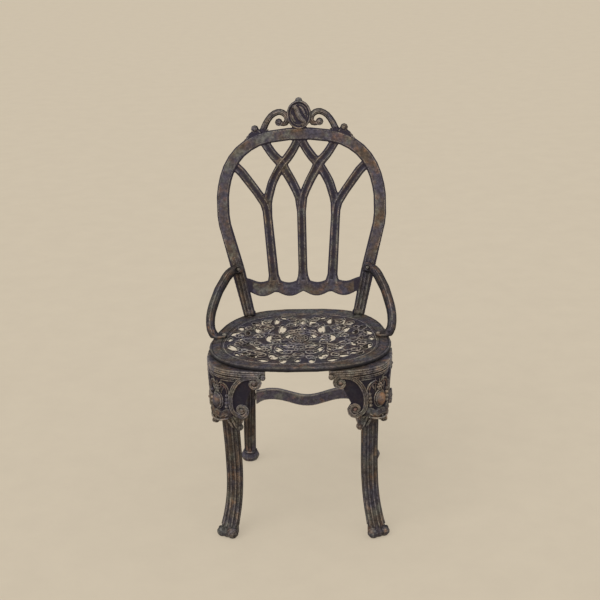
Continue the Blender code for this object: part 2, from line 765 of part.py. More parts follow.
def make_arm(material):
    lug_back = HOOP_DEPTH / 2 + FIT
    lug = [BACK_FRAME @ Vector((LUG_X, ARM_RISE, lug_back + z)) for z in (0.0, LUG_DEPTH)]
    start = BACK_FRAME @ Vector((LUG_X + ARM_END_INSET, ARM_RISE, lug_back + LUG_DEPTH * 0.52))
    foot_x = rim_half_width(ARM_FOOT_Y) - ARM_FOOT_EDGE
    end = Vector((foot_x, ARM_FOOT_Y, SEAT_TOP + FIT + PAD_THICKNESS * 0.4))
    drop = start.z - end.z
    # Shares of the drop, of the run forward, and of the bulge outward
    stations = ((0.015, 0.10, 0.44), (0.082, 0.236, 0.78), (0.255, 0.48, 1.09), (0.455, 0.696, 1.15),
                (0.655, 0.858, 1.03), (0.864, 0.966, 0.60))
    line = [start]
    for fall, run, out in stations:
        line.append(Vector((start.x + (end.x - start.x) * fall + ARM_BULGE * out,
                            start.y + (end.y - start.y) * run, start.z - drop * fall)))
    line.append(end)
    bar = round_bar("arm", smooth(line, 2), ARM_RADIUS, (1.0, 1.03, 1.02, 1.0, 0.93, 0.95))
    end_ball = ball("arm_end", start, ARM_RADIUS * 1.03, 10, 6)
    disc = rod("lug", lug[0], lug[1], LUG_RADIUS, 14)
    centre_x = foot_x - PAD_LENGTH / 2 + ARM_RADIUS * 0.72
    pad = plate("pad", [ellipse(PAD_LENGTH, PAD_WIDTH, 16, (centre_x, ARM_FOOT_Y))],
                PAD_THICKNESS, SEAT_TOP + FIT + PAD_THICKNESS / 2)
    arm = union([bar, end_ball, disc, pad])
    away = lug[1] - lug[0]
    cutters = [rod("lug_hole", lug[0] - away, lug[1] + away, SCREW_RADIUS + HOLE_FIT),
               rod("pad_hole", (ARM_BOLT_X, ARM_FOOT_Y, SEAT_TOP - 0.01),
                   (ARM_BOLT_X, ARM_FOOT_Y, SEAT_TOP + PAD_THICKNESS + 0.01), SCREW_RADIUS + HOLE_FIT),
               rod("head_seat", (ARM_BOLT_X, ARM_FOOT_Y, SEAT_TOP + FIT + PAD_THICKNESS * 0.75),
                   (ARM_BOLT_X, ARM_FOOT_Y, SEAT_TOP + 0.03), HEAD_RADIUS + 2 * FIT, 10)]
    cutters.append(rod("behind_lug", lug[0] - away * 4, lug[0], LUG_RADIUS * 2.5, 12))
    cutters.append(block("below_pad", (foot_x - 0.04, ARM_FOOT_Y - 0.04, SEAT_TOP - 0.02),
                         (foot_x + 0.03, ARM_FOOT_Y + 0.04, SEAT_TOP + FIT)))
    lug_face = lug[1] - away * 0.12
    cutters.append(rod("lug_face", lug_face, lug_face + away * 3, HEAD_RADIUS + 2 * FIT, 10))
    arm = finish("arm_right", cut(arm, cutters), material)
    mirror_twin(arm, "arm_left")


# Front legs: the knee follows a squarer line than the rim, so it stands out at the corner

def knee_line():
    """Points and outward directions of the knee's face on the right, from the side to the front."""
    half = SEAT_HALF_WIDTH - KNEE_EDGE
    reach = SEAT_FRONT_REACH - KNEE_FRONT_EDGE
    share = 2 / KNEE_SQUARENESS
    points = []
    for i in range(401):
        angle = math.pi / 2 * i / 400
        points.append(Vector((half * math.cos(angle) ** share, SEAT_Y - reach * math.sin(angle) ** share)))
    return points


KNEE_POINTS = knee_line()


def knee_lengths():
    lengths = [0.0]
    for a, b in zip(KNEE_POINTS, KNEE_POINTS[1:]):
        lengths.append(lengths[-1] + (b - a).length)
    corner = 0
    for i in range(1, 400):
        along = KNEE_POINTS[i + 1] - KNEE_POINTS[i - 1]
        if abs(along.x) < abs(along.y):
            corner = i
    return [length - lengths[corner] for length in lengths]


KNEE_LENGTHS = knee_lengths()


def on_knee(run, out, height):
    """A place on the knee: run from the corner towards the front, out from its face, and height."""
    k = 0
    while k < len(KNEE_LENGTHS) - 2 and KNEE_LENGTHS[k + 1] < run:
        k += 1
    share = (run - KNEE_LENGTHS[k]) / (KNEE_LENGTHS[k + 1] - KNEE_LENGTHS[k])
    place = KNEE_POINTS[k].lerp(KNEE_POINTS[k + 1], share)
    along = (KNEE_POINTS[k + 1] - KNEE_POINTS[k]).normalized()
    outward = Vector((-along.y, along.x)) * -1.0
    return Vector((place.x - out * outward.x, place.y - out * outward.y, height))


FLANGE_TOP = UNDERSIDE - FIT
FLANGE_SCREWS = [on_knee(run * 0.76 * WING_REACH, -0.0185, 0.0) for run in (-1, 1)]


def knee_strip(name, runs, section):
    """A moulding along the knee's face. The section gives its out and height at each run."""
    return loft(name, [[on_knee(run, out, height) for out, height in section(run)] for run in runs])


def even_runs(reach, count):
    return [-reach + 2 * reach * i / (count - 1) for i in range(count)]


def curl(centre, radius, start, turns, count, end_share=0.3):
    """A spiral that winds in from a start angle in degrees."""
    points = []
    for i in range(count):
        share = i / (count - 1)
        angle = math.radians(start + 360 * turns * share)
        size = radius * (1 - (1 - end_share) * share)
        points.append(Vector((centre[0] + size * math.cos(angle), centre[1] + size * math.sin(angle), 0.0)))
    return points


def scroll_rib(mirror):
    """One C-scroll of a wing, drawn as run and height and then laid on the knee's face."""
    def place(across, down):
        """A place from its shares of the wing's reach and of the knee's height."""
        return Vector((WING_REACH * across, FLANGE_TOP - KNEE_HEIGHT * down, 0.0))

    upper, lower = place(0.80, 0.225), place(0.53, 0.745)
    upper_curl = curl(upper, UPPER_CURL_RADIUS, 90, -1.15, CURL_POINTS)
    lower_curl = curl(lower, LOWER_CURL_RADIUS, -90, 1.15, CURL_POINTS)
    spine = [place(0.58, 0.145), place(0.42, 0.28), place(0.32, 0.52), place(0.355, 0.78)]
    back_part = smooth([upper_curl[0]] + spine + [lower_curl[0]], 2)[1:-1]
    line = list(reversed(upper_curl)) + back_part + lower_curl
    widths = spread((0.45, 0.7, 1.05, 1.25, 1.05, 0.7, 0.45), len(line))
    # The rib's section: shares of its half width, and distances out from the knee's face
    sunk = -WING_PLATE * 0.7
    section = ((-1, sunk), (-0.95, 0.001), (0, RIB_RISE), (0.95, 0.001), (1, sunk))
    rings = []
    for i, point in enumerate(line):
        ahead = line[min(i + 1, len(line) - 1)] - line[max(i - 1, 0)]
        aside = Vector((-ahead.y, ahead.x, 0.0)).normalized() * (SCROLL_RIB / 2 * widths[i])
        ring = []
        for across, out in section:
            spot = point + aside * across
            ring.append(on_knee(mirror * spot.x, out, spot.y))
        rings.append(ring)
    discs = []
    for centre, radius in ((upper, UPPER_CURL_RADIUS), (lower, LOWER_CURL_RADIUS)):
        ends = [on_knee(mirror * centre.x, out, centre.y) for out in (-WING_PLATE, -0.0012)]
        discs.append(rod("curl_disc", *ends, radius * 0.88, 10))
    return [loft("scroll_rib", rings)] + discs


def knee_parts():
    top = FLANGE_TOP
    reach = WING_REACH
    flange = knee_strip("flange", even_runs(reach, 11), lambda run: [
        (0.001, top), (0.001, top - CAP_THICKNESS), (-CAP_FLANGE, top - CAP_THICKNESS), (-CAP_FLANGE, top)])
    band = knee_strip("band", even_runs(reach + 0.002, 11), lambda run: [
        (0.002, top - 0.001), (0.0035, top - 0.005), (0.0005, top - 0.0085), (0.003, top - 0.0115),
        (0.001, top - BAND_HEIGHT), (-0.008, top - BAND_HEIGHT), (-0.008, top - 0.0013)])
    # The web's lower edge: shares of the wing's reach and of the knee's height
    edge = ((0.0, 0.987), (0.13, 0.96), (0.28, 0.90), (0.42, 0.83), (0.55, 0.74),
            (0.67, 0.50), (0.79, 0.26), (0.93, 0.17))
    whole_edge = [(-share, drop) for share, drop in reversed(edge[1:])] + list(edge)
    table = {share * reach: drop * KNEE_HEIGHT for share, drop in whole_edge}
    web = knee_strip("web", list(table), lambda run: [
        (-0.0005, top - 0.008), (-0.0005, top - table[run]),
        (-WING_PLATE, top - table[run]), (-WING_PLATE, top - 0.008)])

    def cup_section(run):
        """A leaf cup under the rosette, thinner towards its ends, with a lobed lower edge."""
        share = run / CUP_REACH
        depth = CUP_DEPTH * (1 - 0.85 * share ** 2)
        low = top - KNEE_HEIGHT + 0.005 * abs(math.cos(1.5 * math.pi * share)) + 0.010 * share ** 2
        return [(-0.004, low + CUP_HEIGHT), (depth * 0.55, low + CUP_HEIGHT - 0.003),
                (depth, low + CUP_HEIGHT * 0.4), (depth * 0.5, low), (-0.005, low + 0.001)]

    cup = knee_strip("leaf_cup", even_runs(CUP_REACH, 13), cup_section)
    return [flange, band, web] + scroll_rib(1) + scroll_rib(-1) + [cup]


def flute_ring(centre, radius, turn, count=12, depth=FLUTE_DEPTH):
    """A level ring with reeds round it."""
    ring = []
    for i in range(count):
        angle = turn + 2 * math.pi * i / count
        size = radius - (depth if i % 2 else 0.0)
        ring.append(Vector((centre.x + size * math.cos(angle), centre.y + size * math.sin(angle), centre.z)))
    return ring


def front_foot_centre():
    ahead = Vector((math.cos(LEG_TURN), -math.sin(LEG_TURN), 0.0))
    ankle = on_knee(0.0, -ANKLE_INSET, 0.0)
    return ankle, ahead, ankle + ahead * FOOT_KICK


def make_front_leg(material):
    ankle, ahead, foot = front_foot_centre()
    knee_z = FLANGE_TOP - KNEE_HEIGHT
    # Height share from the floor to the knee, share of the foot's kick, and radius share
    stations = ((0.035, 1.0, 1.20), (0.085, 0.87, 1.10), (0.15, 0.55, 1.0), (0.25, 0.17, 0.96),
                (0.38, -0.09, 0.95), (0.55, -0.18, 0.96), (0.76, -0.10, 0.95), (0.92, 0.0, 0.98))
    rings = []
    for height, kick, size in stations:
        centre = ankle + ahead * (FOOT_KICK * kick) + UP * (knee_z * height)
        rings.append(flute_ring(centre, FRONT_SHAFT_RADIUS * size, -LEG_TURN))
    # Above the collar the shaft goes on as the knee's core, behind the corner of the web
    for share, setback, size in ((0.05, 0.026, 0.0205), (0.3, 0.0235, 0.0215), (0.62, 0.022, 0.0205),
                                 (0.97, 0.021, 0.019)):
        place = on_knee(0.0, -setback, knee_z + KNEE_HEIGHT * share)
        rings.append(flute_ring(place, size, -LEG_TURN, 12, 0.0))

    collar_centre = on_knee(0.0, -0.0265, knee_z + 0.002)
    collar = turned("collar", [(0.0, 0.009), (0.021, 0.009), (0.026, 0.001), (0.0215, -0.009),
                               (0.0, -0.0095)], 12)
    collar.data.transform(Matrix.Translation(collar_centre) @ Matrix.Rotation(math.radians(-14), 4, "Y"))

    corner = on_knee(0.0, 0.0, FLANGE_TOP - KNEE_HEIGHT * ROSETTE_DROP)
    outward = (on_knee(0.0, 0.01, 0.0) - on_knee(0.0, 0.0, 0.0)).normalized()
    # The oval's section: shares of its half width, and heights over the knee's face
    profile = ((0.0, 0.0105), (0.36, 0.0090), (0.60, 0.0035), (0.82, 0.0050), (1.0, 0.0015), (1.0, -0.007),
               (0.0, -0.007))
    rosette = turned("rosette", [(ROSETTE_WIDTH / 2 * share, height) for share, height in profile], 14)
    frame = Matrix((UP.cross(outward), UP * (ROSETTE_HEIGHT / ROSETTE_WIDTH), outward)).transposed()
    rosette.data.transform(Matrix.Translation(corner) @ frame.to_4x4())
    bead_out = ball("bead", collar_centre + Vector((0.027, -0.007, -0.007)), 0.009)
    leaf = ball("leaf", collar_centre + Vector((-0.0195, -0.0145, -0.010)), (0.0105, 0.011, 0.016))
    leaf_tip = ball("leaf_tip", collar_centre + Vector((-0.0245, -0.0155, -0.0235)), 0.0088)

    pad = foot + UP * (FOOT_HEIGHT * 0.42)
    aside = Vector((-ahead.y, ahead.x, 0.0))
    sole = ball("sole", pad, (FOOT_RADIUS, FOOT_RADIUS, FOOT_HEIGHT * 0.58), 12, 5)
    toes = [ball("toe", pad + ahead * 0.009 + aside * (0.013 * side), (0.0135, 0.0135, FOOT_HEIGHT * 0.47))
            for side in (-1, 1)]
    shaft = loft("shaft", rings)
    parts = [shaft] + knee_parts() + [rosette, collar, bead_out, leaf, leaf_tip, sole] + toes
    leg = union(parts)
    below = block("below", (foot.x - 0.1, foot.y - 0.1, -0.05), (foot.x + 0.1, foot.y + 0.1, 0.0))
    cutters = [below]
    for place in FLANGE_SCREWS:
        cutters.append(rod("screw_hole", (place.x, place.y, FLANGE_TOP - CAP_THICKNESS - 0.01),
                           (place.x, place.y, FLANGE_TOP + 0.01), SCREW_RADIUS + HOLE_FIT))
    leg = finish("front_leg_right", cut(leg, cutters), material)
    mirror_twin(leg, "front_leg_left")


# Rear legs, rail and their fasteners

def rear_leg_centre(z):
    """The rear leg's centre line: upright under the stile, swept back and out at the foot."""
    fall = 1 - z / FLANGE_TOP
    return Vector((STILE_X + REAR_KICK_X * fall ** 0.76, STILE_Y + REAR_KICK_Y * fall ** 1.3, z))


STRETCHER_END = rear_leg_centre(STRETCHER_Z).x - BOSS_REACH - FIT


def make_rear_leg(material):
    rings = []
    for i in range(8):
        z = FLANGE_TOP + (PAD_FOOT_HEIGHT * 0.5 - FLANGE_TOP) * i / 7
        size = 1.0 + 0.12 * max(0.0, 1 - i / 2) + 0.04 * max(0.0, i - 5)
        rings.append(flute_ring(rear_leg_centre(z), REAR_SHAFT_RADIUS * size, 0.0, 10, FLUTE_DEPTH * 0.8))
    shaft = loft("rear_shaft", rings)
    foot_place = rear_leg_centre(0.0)
    radius, height = PAD_FOOT_RADIUS, PAD_FOOT_HEIGHT
    pad = turned("pad_foot", [(0.0, height * 1.15), (radius * 0.62, height * 1.12),
                              (radius * 0.9, height * 0.85), (radius, height * 0.5),
                              (radius * 0.8, 0.0), (0.0, 0.0)], 14)
    pad.data.transform(Matrix.Translation(foot_place))
    centre = rear_leg_centre(STRETCHER_Z)
    inner_boss = rod("inner_boss", centre, centre - Vector((BOSS_REACH, 0, 0)), 0.0095, 10)
    outer_boss = rod("outer_boss", centre, centre + Vector((BOSS_REACH, 0, 0)), 0.0075, 10)
    leg = union([shaft, pad, inner_boss, outer_boss])
    socket = Vector((STILE_X, STILE_Y, SEAT_TOP))
    pin = Vector((STILE_X, STILE_Y, PIN_Z))
    face, past = Vector((0.0, PIN_FACE, 0.0)), Vector((0.0, 0.03, 0.0))
    beyond = Vector((0.03, 0.0, 0.0))
    cutters = [
        rod("socket", socket - UP * (TENON_LENGTH + 0.002), socket, TENON_RADIUS + HOLE_FIT, 12),
        rod("pin_hole", pin - past, pin + past, SCREW_RADIUS + HOLE_FIT),
        rod("head_seat", pin + face, pin + past, HEAD_RADIUS + 2 * FIT, 10),
        rod("nut_seat", pin - face, pin - past, NUT_RADIUS + 2 * FIT, 10),
        rod("stretcher_hole", centre - beyond, centre + beyond, SCREW_RADIUS + HOLE_FIT)]
    leg = finish("rear_leg_right", cut(leg, cutters), material)
    mirror_twin(leg, "rear_leg_left")


PIN_FACE = REAR_SHAFT_RADIUS - 0.0025


def make_stretcher(material):
    """A waved bar: level shoulders beside the legs, and a sag in the middle."""
    top, bottom = [], []
    for i in range(25):
        x = -STRETCHER_END + 2 * STRETCHER_END * i / 24
        share = abs(x) / STRETCHER_END
        wave = STRETCHER_SAG * (0.5 - 0.5 * math.cos(min(1.0, share / 0.68) * math.pi))
        droop = 0.010 * max(0.0, (share - 0.72) / 0.28) ** 2
        flare = 0.004 * max(0.0, (share - 0.80) / 0.20) ** 2
        middle = STRETCHER_Z - STRETCHER_SAG + 0.008 + wave - droop
        half = STRETCHER_HEIGHT / 2 + flare
        top.append(Vector((x, middle + half)))
        bottom.append(Vector((x, middle - half)))
    bar = plate("stretcher", [bottom + list(reversed(top))], STRETCHER_DEPTH)
    place = rear_leg_centre(STRETCHER_Z).y
    bar.data.transform(Matrix.Translation((0.0, place, 0.0)) @ Matrix.Rotation(math.pi / 2, 4, "X"))
    cutters = []
    for side in (-1, 1):
        end = Vector((side * (STRETCHER_END + 0.01), place, STRETCHER_Z))
        inner = Vector((side * (STRETCHER_END - STRETCHER_BITE - FIT), place, STRETCHER_Z))
        cutters.append(rod("end_hole", inner, end, SCREW_RADIUS + HOLE_FIT))
    finish("rear_stretcher", cut(bar, cutters), material)


def screw_shape(name, length):
    """A round-headed screw along Z: its head stands above zero and its shank hangs below."""
    return turned(name, [(0.0, HEAD_HEIGHT), (HEAD_RADIUS * 0.7, HEAD_HEIGHT * 0.75), (HEAD_RADIUS, 0.0),
                         (SCREW_RADIUS, 0.0), (SCREW_RADIUS, -length), (0.0, -length)], 8)


def nut_shape(name):
    """A six-sided nut that hangs below zero, round a clearance hole."""
    body = rod(name, (0, 0, 0), (0, 0, -NUT_HEIGHT), NUT_RADIUS, 6)
    hole = rod("nut_hole", (0, 0, 0.01), (0, 0, -NUT_HEIGHT - 0.01), SCREW_RADIUS + HOLE_FIT, 8)
    return cut(body, [hole])


def place_pair(name, shape, place, axis, material):
    """A fastener with its Z axis along the given axis on the right, and its twin on the left."""
    turn = UP.rotation_difference(Vector(axis)).to_matrix().to_4x4()
    shape.data.transform(Matrix.Translation(place) @ turn)
    item = finish(name + "_right", shape, material)
    mirror_twin(item, name + "_left")


def make_fasteners(material):
    for i, spot in enumerate(FLANGE_SCREWS):
        name = "front_leg_screw_" + ("side", "front")[i]
        place = Vector((spot.x, spot.y, FLANGE_TOP - CAP_THICKNESS - FIT))
        length = CAP_THICKNESS + 2 * FIT + SCREW_BITE
        place_pair(name, screw_shape(name, length), place, -UP, material)

    head_place = Vector((ARM_BOLT_X, ARM_FOOT_Y, SEAT_TOP + FIT + PAD_THICKNESS * 0.75 + FIT))
    nut_place = Vector((ARM_BOLT_X, ARM_FOOT_Y, UNDERSIDE - FIT))
    length = head_place.z - nut_place.z + NUT_HEIGHT + 0.001
    place_pair("arm_seat_bolt", screw_shape("arm_seat_bolt", length), head_place, UP, material)
    place_pair("arm_seat_nut", nut_shape("arm_seat_nut"), nut_place, UP, material)

    front = BACK_FRAME.to_3x3() @ UP
    head = HOOP_DEPTH / 2 + FIT + LUG_DEPTH * 0.88 + FIT
    nut = -HOOP_DEPTH / 2 - FIT
    place_pair("arm_back_bolt", screw_shape("arm_back_bolt", head - nut + NUT_HEIGHT + 0.001),
               BACK_FRAME @ Vector((LUG_X, ARM_RISE, head)), front, material)
    place_pair("arm_back_nut", nut_shape("arm_back_nut"), BACK_FRAME @ Vector((LUG_X, ARM_RISE, nut)),
               front, material)

    reach = PIN_FACE + FIT
    pin = Vector((STILE_X, STILE_Y, PIN_Z))
    rearward = Vector((0.0, 1.0, 0.0))
    place_pair("tenon_bolt", screw_shape("tenon_bolt", 2 * reach + NUT_HEIGHT + 0.001),
               pin + rearward * reach, rearward, material)
    place_pair("tenon_nut", nut_shape("tenon_nut"), pin - rearward * reach, rearward, material)

    centre = rear_leg_centre(STRETCHER_Z)
    sideways = Vector((1.0, 0.0, 0.0))
    length = 2 * BOSS_REACH + 2 * FIT + STRETCHER_BITE
    place_pair("stretcher_screw", screw_shape("stretcher_screw", length),
               centre + sideways * (BOSS_REACH + FIT), sideways, material)


def build_chair():
    make_seat(iron("iron_seat", IRON, 0.55))
    make_back(iron("iron_back", IRON, 0.5))
    make_arm(iron("iron_arm", IRON, 0.5))
    make_front_leg(iron("iron_front_leg", IRON, 0.55))
    make_rear_leg(iron("iron_rear_leg", IRON, 0.55))
    make_stretcher(iron("iron_rail", IRON, 0.55))
    make_fasteners(iron("iron_bolts", BOLT_IRON, 0.6))


build_chair()
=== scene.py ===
# %% [markdown]
# # A cast iron garden chair
#
# The chair is a set of iron castings, bolted together and painted dark: a pierced seat, a hooped back, two
# arms, four legs and a rail between the rear ones. The solids come from the workshop's model. This lesson
# gives them the soft skin of sand casting, the raised ornament that a pattern maker carves, and old, worn
# paint.

# %% Load the chair
import math

import bpy
from mathutils import Matrix, Vector
from mathutils.kdtree import KDTree


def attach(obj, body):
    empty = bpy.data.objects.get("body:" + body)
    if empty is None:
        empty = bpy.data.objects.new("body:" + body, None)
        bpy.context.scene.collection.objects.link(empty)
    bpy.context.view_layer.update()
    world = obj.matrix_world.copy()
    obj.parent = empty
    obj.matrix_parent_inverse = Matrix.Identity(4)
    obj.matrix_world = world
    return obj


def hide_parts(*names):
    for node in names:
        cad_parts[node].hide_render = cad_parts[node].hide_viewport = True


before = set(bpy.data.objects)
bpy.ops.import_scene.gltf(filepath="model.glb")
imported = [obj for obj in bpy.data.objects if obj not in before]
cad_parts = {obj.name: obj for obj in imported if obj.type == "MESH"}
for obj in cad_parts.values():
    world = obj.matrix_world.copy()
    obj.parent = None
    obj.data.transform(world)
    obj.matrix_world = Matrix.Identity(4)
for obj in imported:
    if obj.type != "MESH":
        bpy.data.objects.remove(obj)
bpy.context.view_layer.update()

print("castings and fasteners:", len(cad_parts))

# %% [markdown]
# ## Working by hand, in code
#
# Every operator of Blender acts on what is selected, so each step first selects its own piece and nothing
# else. These few helpers do what a modeller does with the mouse between two operators.

# %% Pick a piece, edit it and copy a casting
WELD = 0.00002
UP = Vector((0.0, 0.0, 1.0))


def pick(*pieces):
    """Leave edit mode and select only these pieces. The first one becomes the active one."""
    if bpy.context.object and bpy.context.object.mode != "OBJECT":
        done()
    bpy.ops.object.select_all(action="DESELECT")
    for piece in pieces:
        piece.select_set(True)
    if pieces:
        bpy.context.view_layer.objects.active = pieces[0]


def edit(piece, select="SELECT", mode="VERT"):
    pick(piece)
    bpy.ops.object.mode_set(mode="EDIT")
    bpy.ops.mesh.select_mode(type=mode)
    bpy.ops.mesh.select_all(action=select)


def done():
    bpy.ops.object.mode_set(mode="OBJECT")


def edit_only(piece, wanted, parts="vertices"):
    """Go into edit mode with only the wanted corners or faces selected."""
    edit(piece, "DESELECT", "VERT" if parts == "vertices" else "FACE")
    done()
    for part in getattr(piece.data, parts):
        part.select = wanted(part)
    bpy.ops.object.mode_set(mode="EDIT")


def settle(piece):
    """Put the piece's place, turn and size into its mesh."""
    pick(piece)
    bpy.ops.object.transform_apply(location=True, rotation=True, scale=True)
    return piece


def free_copy(piece, name):
    """A copy with a mesh of its own, tied to nothing."""
    twin = piece.copy()
    twin.data = piece.data.copy()
    twin.name = twin.data.name = name
    twin.parent = None
    for key in list(twin.keys()):
        del twin[key]
    bpy.context.scene.collection.objects.link(twin)
    return twin


def copy_of(node, name):
    """A copy of a casting's solid, with its doubled corners welded."""
    piece = free_copy(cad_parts[node], name)
    piece.hide_render = piece.hide_viewport = False
    edit(piece)
    bpy.ops.mesh.remove_doubles(threshold=WELD)
    done()
    return piece


def apply_modifier(piece, kind, **settings):
    pick(piece)
    bpy.ops.object.modifier_add(type=kind)
    modifier = piece.modifiers[-1]
    for name, value in settings.items():
        setattr(modifier, name, value)
    bpy.ops.object.modifier_apply(modifier=modifier.name)


def close_up(piece):
    """Weld doubled corners, turn all faces outwards and shade them smooth."""
    edit(piece)
    bpy.ops.mesh.remove_doubles(threshold=WELD)
    bpy.ops.mesh.normals_make_consistent(inside=False)
    done()
    bpy.ops.object.shade_smooth()
    return piece


def gather(pieces, name):
    """Pieces joined into one."""
    pick(*pieces)
    if len(pieces) > 1:
        bpy.ops.object.join()
    piece = bpy.context.object
    piece.name = piece.data.name = name
    return piece


def place(piece, material):
    """Give a finished piece its paint and let it ride on the chair."""
    piece.data.materials.clear()
    piece.data.materials.append(material)
    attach(piece, "root")
    return piece


def finish(piece, material):
    """Place a piece and print its faces. A right-hand one gets its mirror image on the left."""
    if piece.name.endswith("right"):
        left = free_copy(piece, piece.name.replace("right", "left"))
        left.scale.x = -1.0
        place(close_up(settle(left)), material)
    print(piece.name, len(piece.data.polygons), "faces")
    return place(piece, material)

# %% [markdown]
# ## Paint that has stood outdoors
#
# Old paint on iron is almost black, but never one black. It goes brown where rust bleeds through, grey-green
# and violet where it has chalked, and it rubs down to a lighter grey on every raised edge, which here also
# serves as a painted highlight. Painted shade darkens the hollows, the undersides and the faces that turn away
# from a piece's chosen face. One small class lets the maths of such a surface be written as plain sums.


# %% A value that flows through a material
class Flow:
    """The output of a shader node, which can be used in sums."""

    def __init__(self, tree, socket):
        self.tree = tree
        self.socket = socket

    def sum(self, operation, first, second):
        return add_node(self.tree, "ShaderNodeMath", 0, {"operation": operation}, i0=first, i1=second)

    def __add__(self, other):
        return self.sum("ADD", self, other)

    __radd__ = __add__

    def __sub__(self, other):
        return self.sum("SUBTRACT", self, other)

    def __rsub__(self, other):
        return self.sum("SUBTRACT", other, self)

    def __mul__(self, other):
        return self.sum("MULTIPLY", self, other)

    def most(self, other):
        """The larger of two values."""
        return self.sum("MAXIMUM", self, other)

    def step(self, low, high):
        """Zero below low, one above high and a straight ramp between them."""
        share = (self - low) * (1.0 / (high - low))
        return self.sum("MINIMUM", share.most(0.0), 1.0)


def add_node(tree, kind, output=0, settings=(), **sockets):
    """A new node: its settings, then the values or links of its sockets, named or numbered as in i0."""
    node = tree.nodes.new(kind)
    for name, value in dict(settings).items():
        setattr(node, name, value)
    for name, value in sockets.items():
        key = int(name[1:]) if name[0] == "i" and name[1:].isdigit() else name.replace("_", " ")
        socket = node.inputs[key]
        if isinstance(value, Flow):
            tree.links.new(value.socket, socket)
        else:
            socket.default_value = value
    return Flow(tree, node.outputs[output])


def mix(mask, first, second):
    """Two colours mixed by a mask. A colour is a flow or three numbers."""
    pair = [value if isinstance(value, Flow) else (*value, 1.0) for value in (first, second)]
    return add_node(mask.tree, "ShaderNodeMix", 2, {"data_type": "RGBA"}, i0=mask, i6=pair[0], i7=pair[1])


def scaled(colour, share):
    return add_node(colour.tree, "ShaderNodeVectorMath", 0, {"operation": "SCALE"}, Vector=colour, Scale=share)


def new_material(name):
    """A material, its node tree and shader, and the flow of the place on the piece."""
    material = bpy.data.materials.new(name)
    material.use_nodes = True
    tree = material.node_tree
    return material, tree, tree.nodes["Principled BSDF"], add_node(tree, "ShaderNodeTexCoord", "Object")


print("sums of a flow:", [name for name in vars(Flow) if name[:2] != "__"])

# %% The paint
BLACK = (0.009, 0.008, 0.01)
# Near black for the painted shade in recesses
RECESS_SHADE = (0.018, 0.015, 0.024)
UMBER = (0.078, 0.056, 0.04)
VIOLET = (0.06, 0.053, 0.07)
CHALK_GREEN = (0.15, 0.152, 0.118)
RUST = (0.215, 0.1, 0.042)
RED_BROWN = (0.15, 0.075, 0.055)
# Rubbed paint that also serves as the painted highlight on raised edges
RUBBED_AND_HIGHLIGHT = (0.42, 0.375, 0.3)
# Scale, detail and seed of the paint's patches, from the broadest to the finest
PATCHES = ((17.0, 4.0, 0.0), (33.0, 4.0, 3.7), (46.0, 5.0, 5.3), (150.0, 3.0, 8.1), (420.0, 3.0, 1.9))
PATCH_ROUGHNESS = 0.62
# The paint's shine, and the strength and height in metres of its grain
SHINE, GRAIN, GRAIN_HEIGHT = 0.13, 0.35, 0.0006


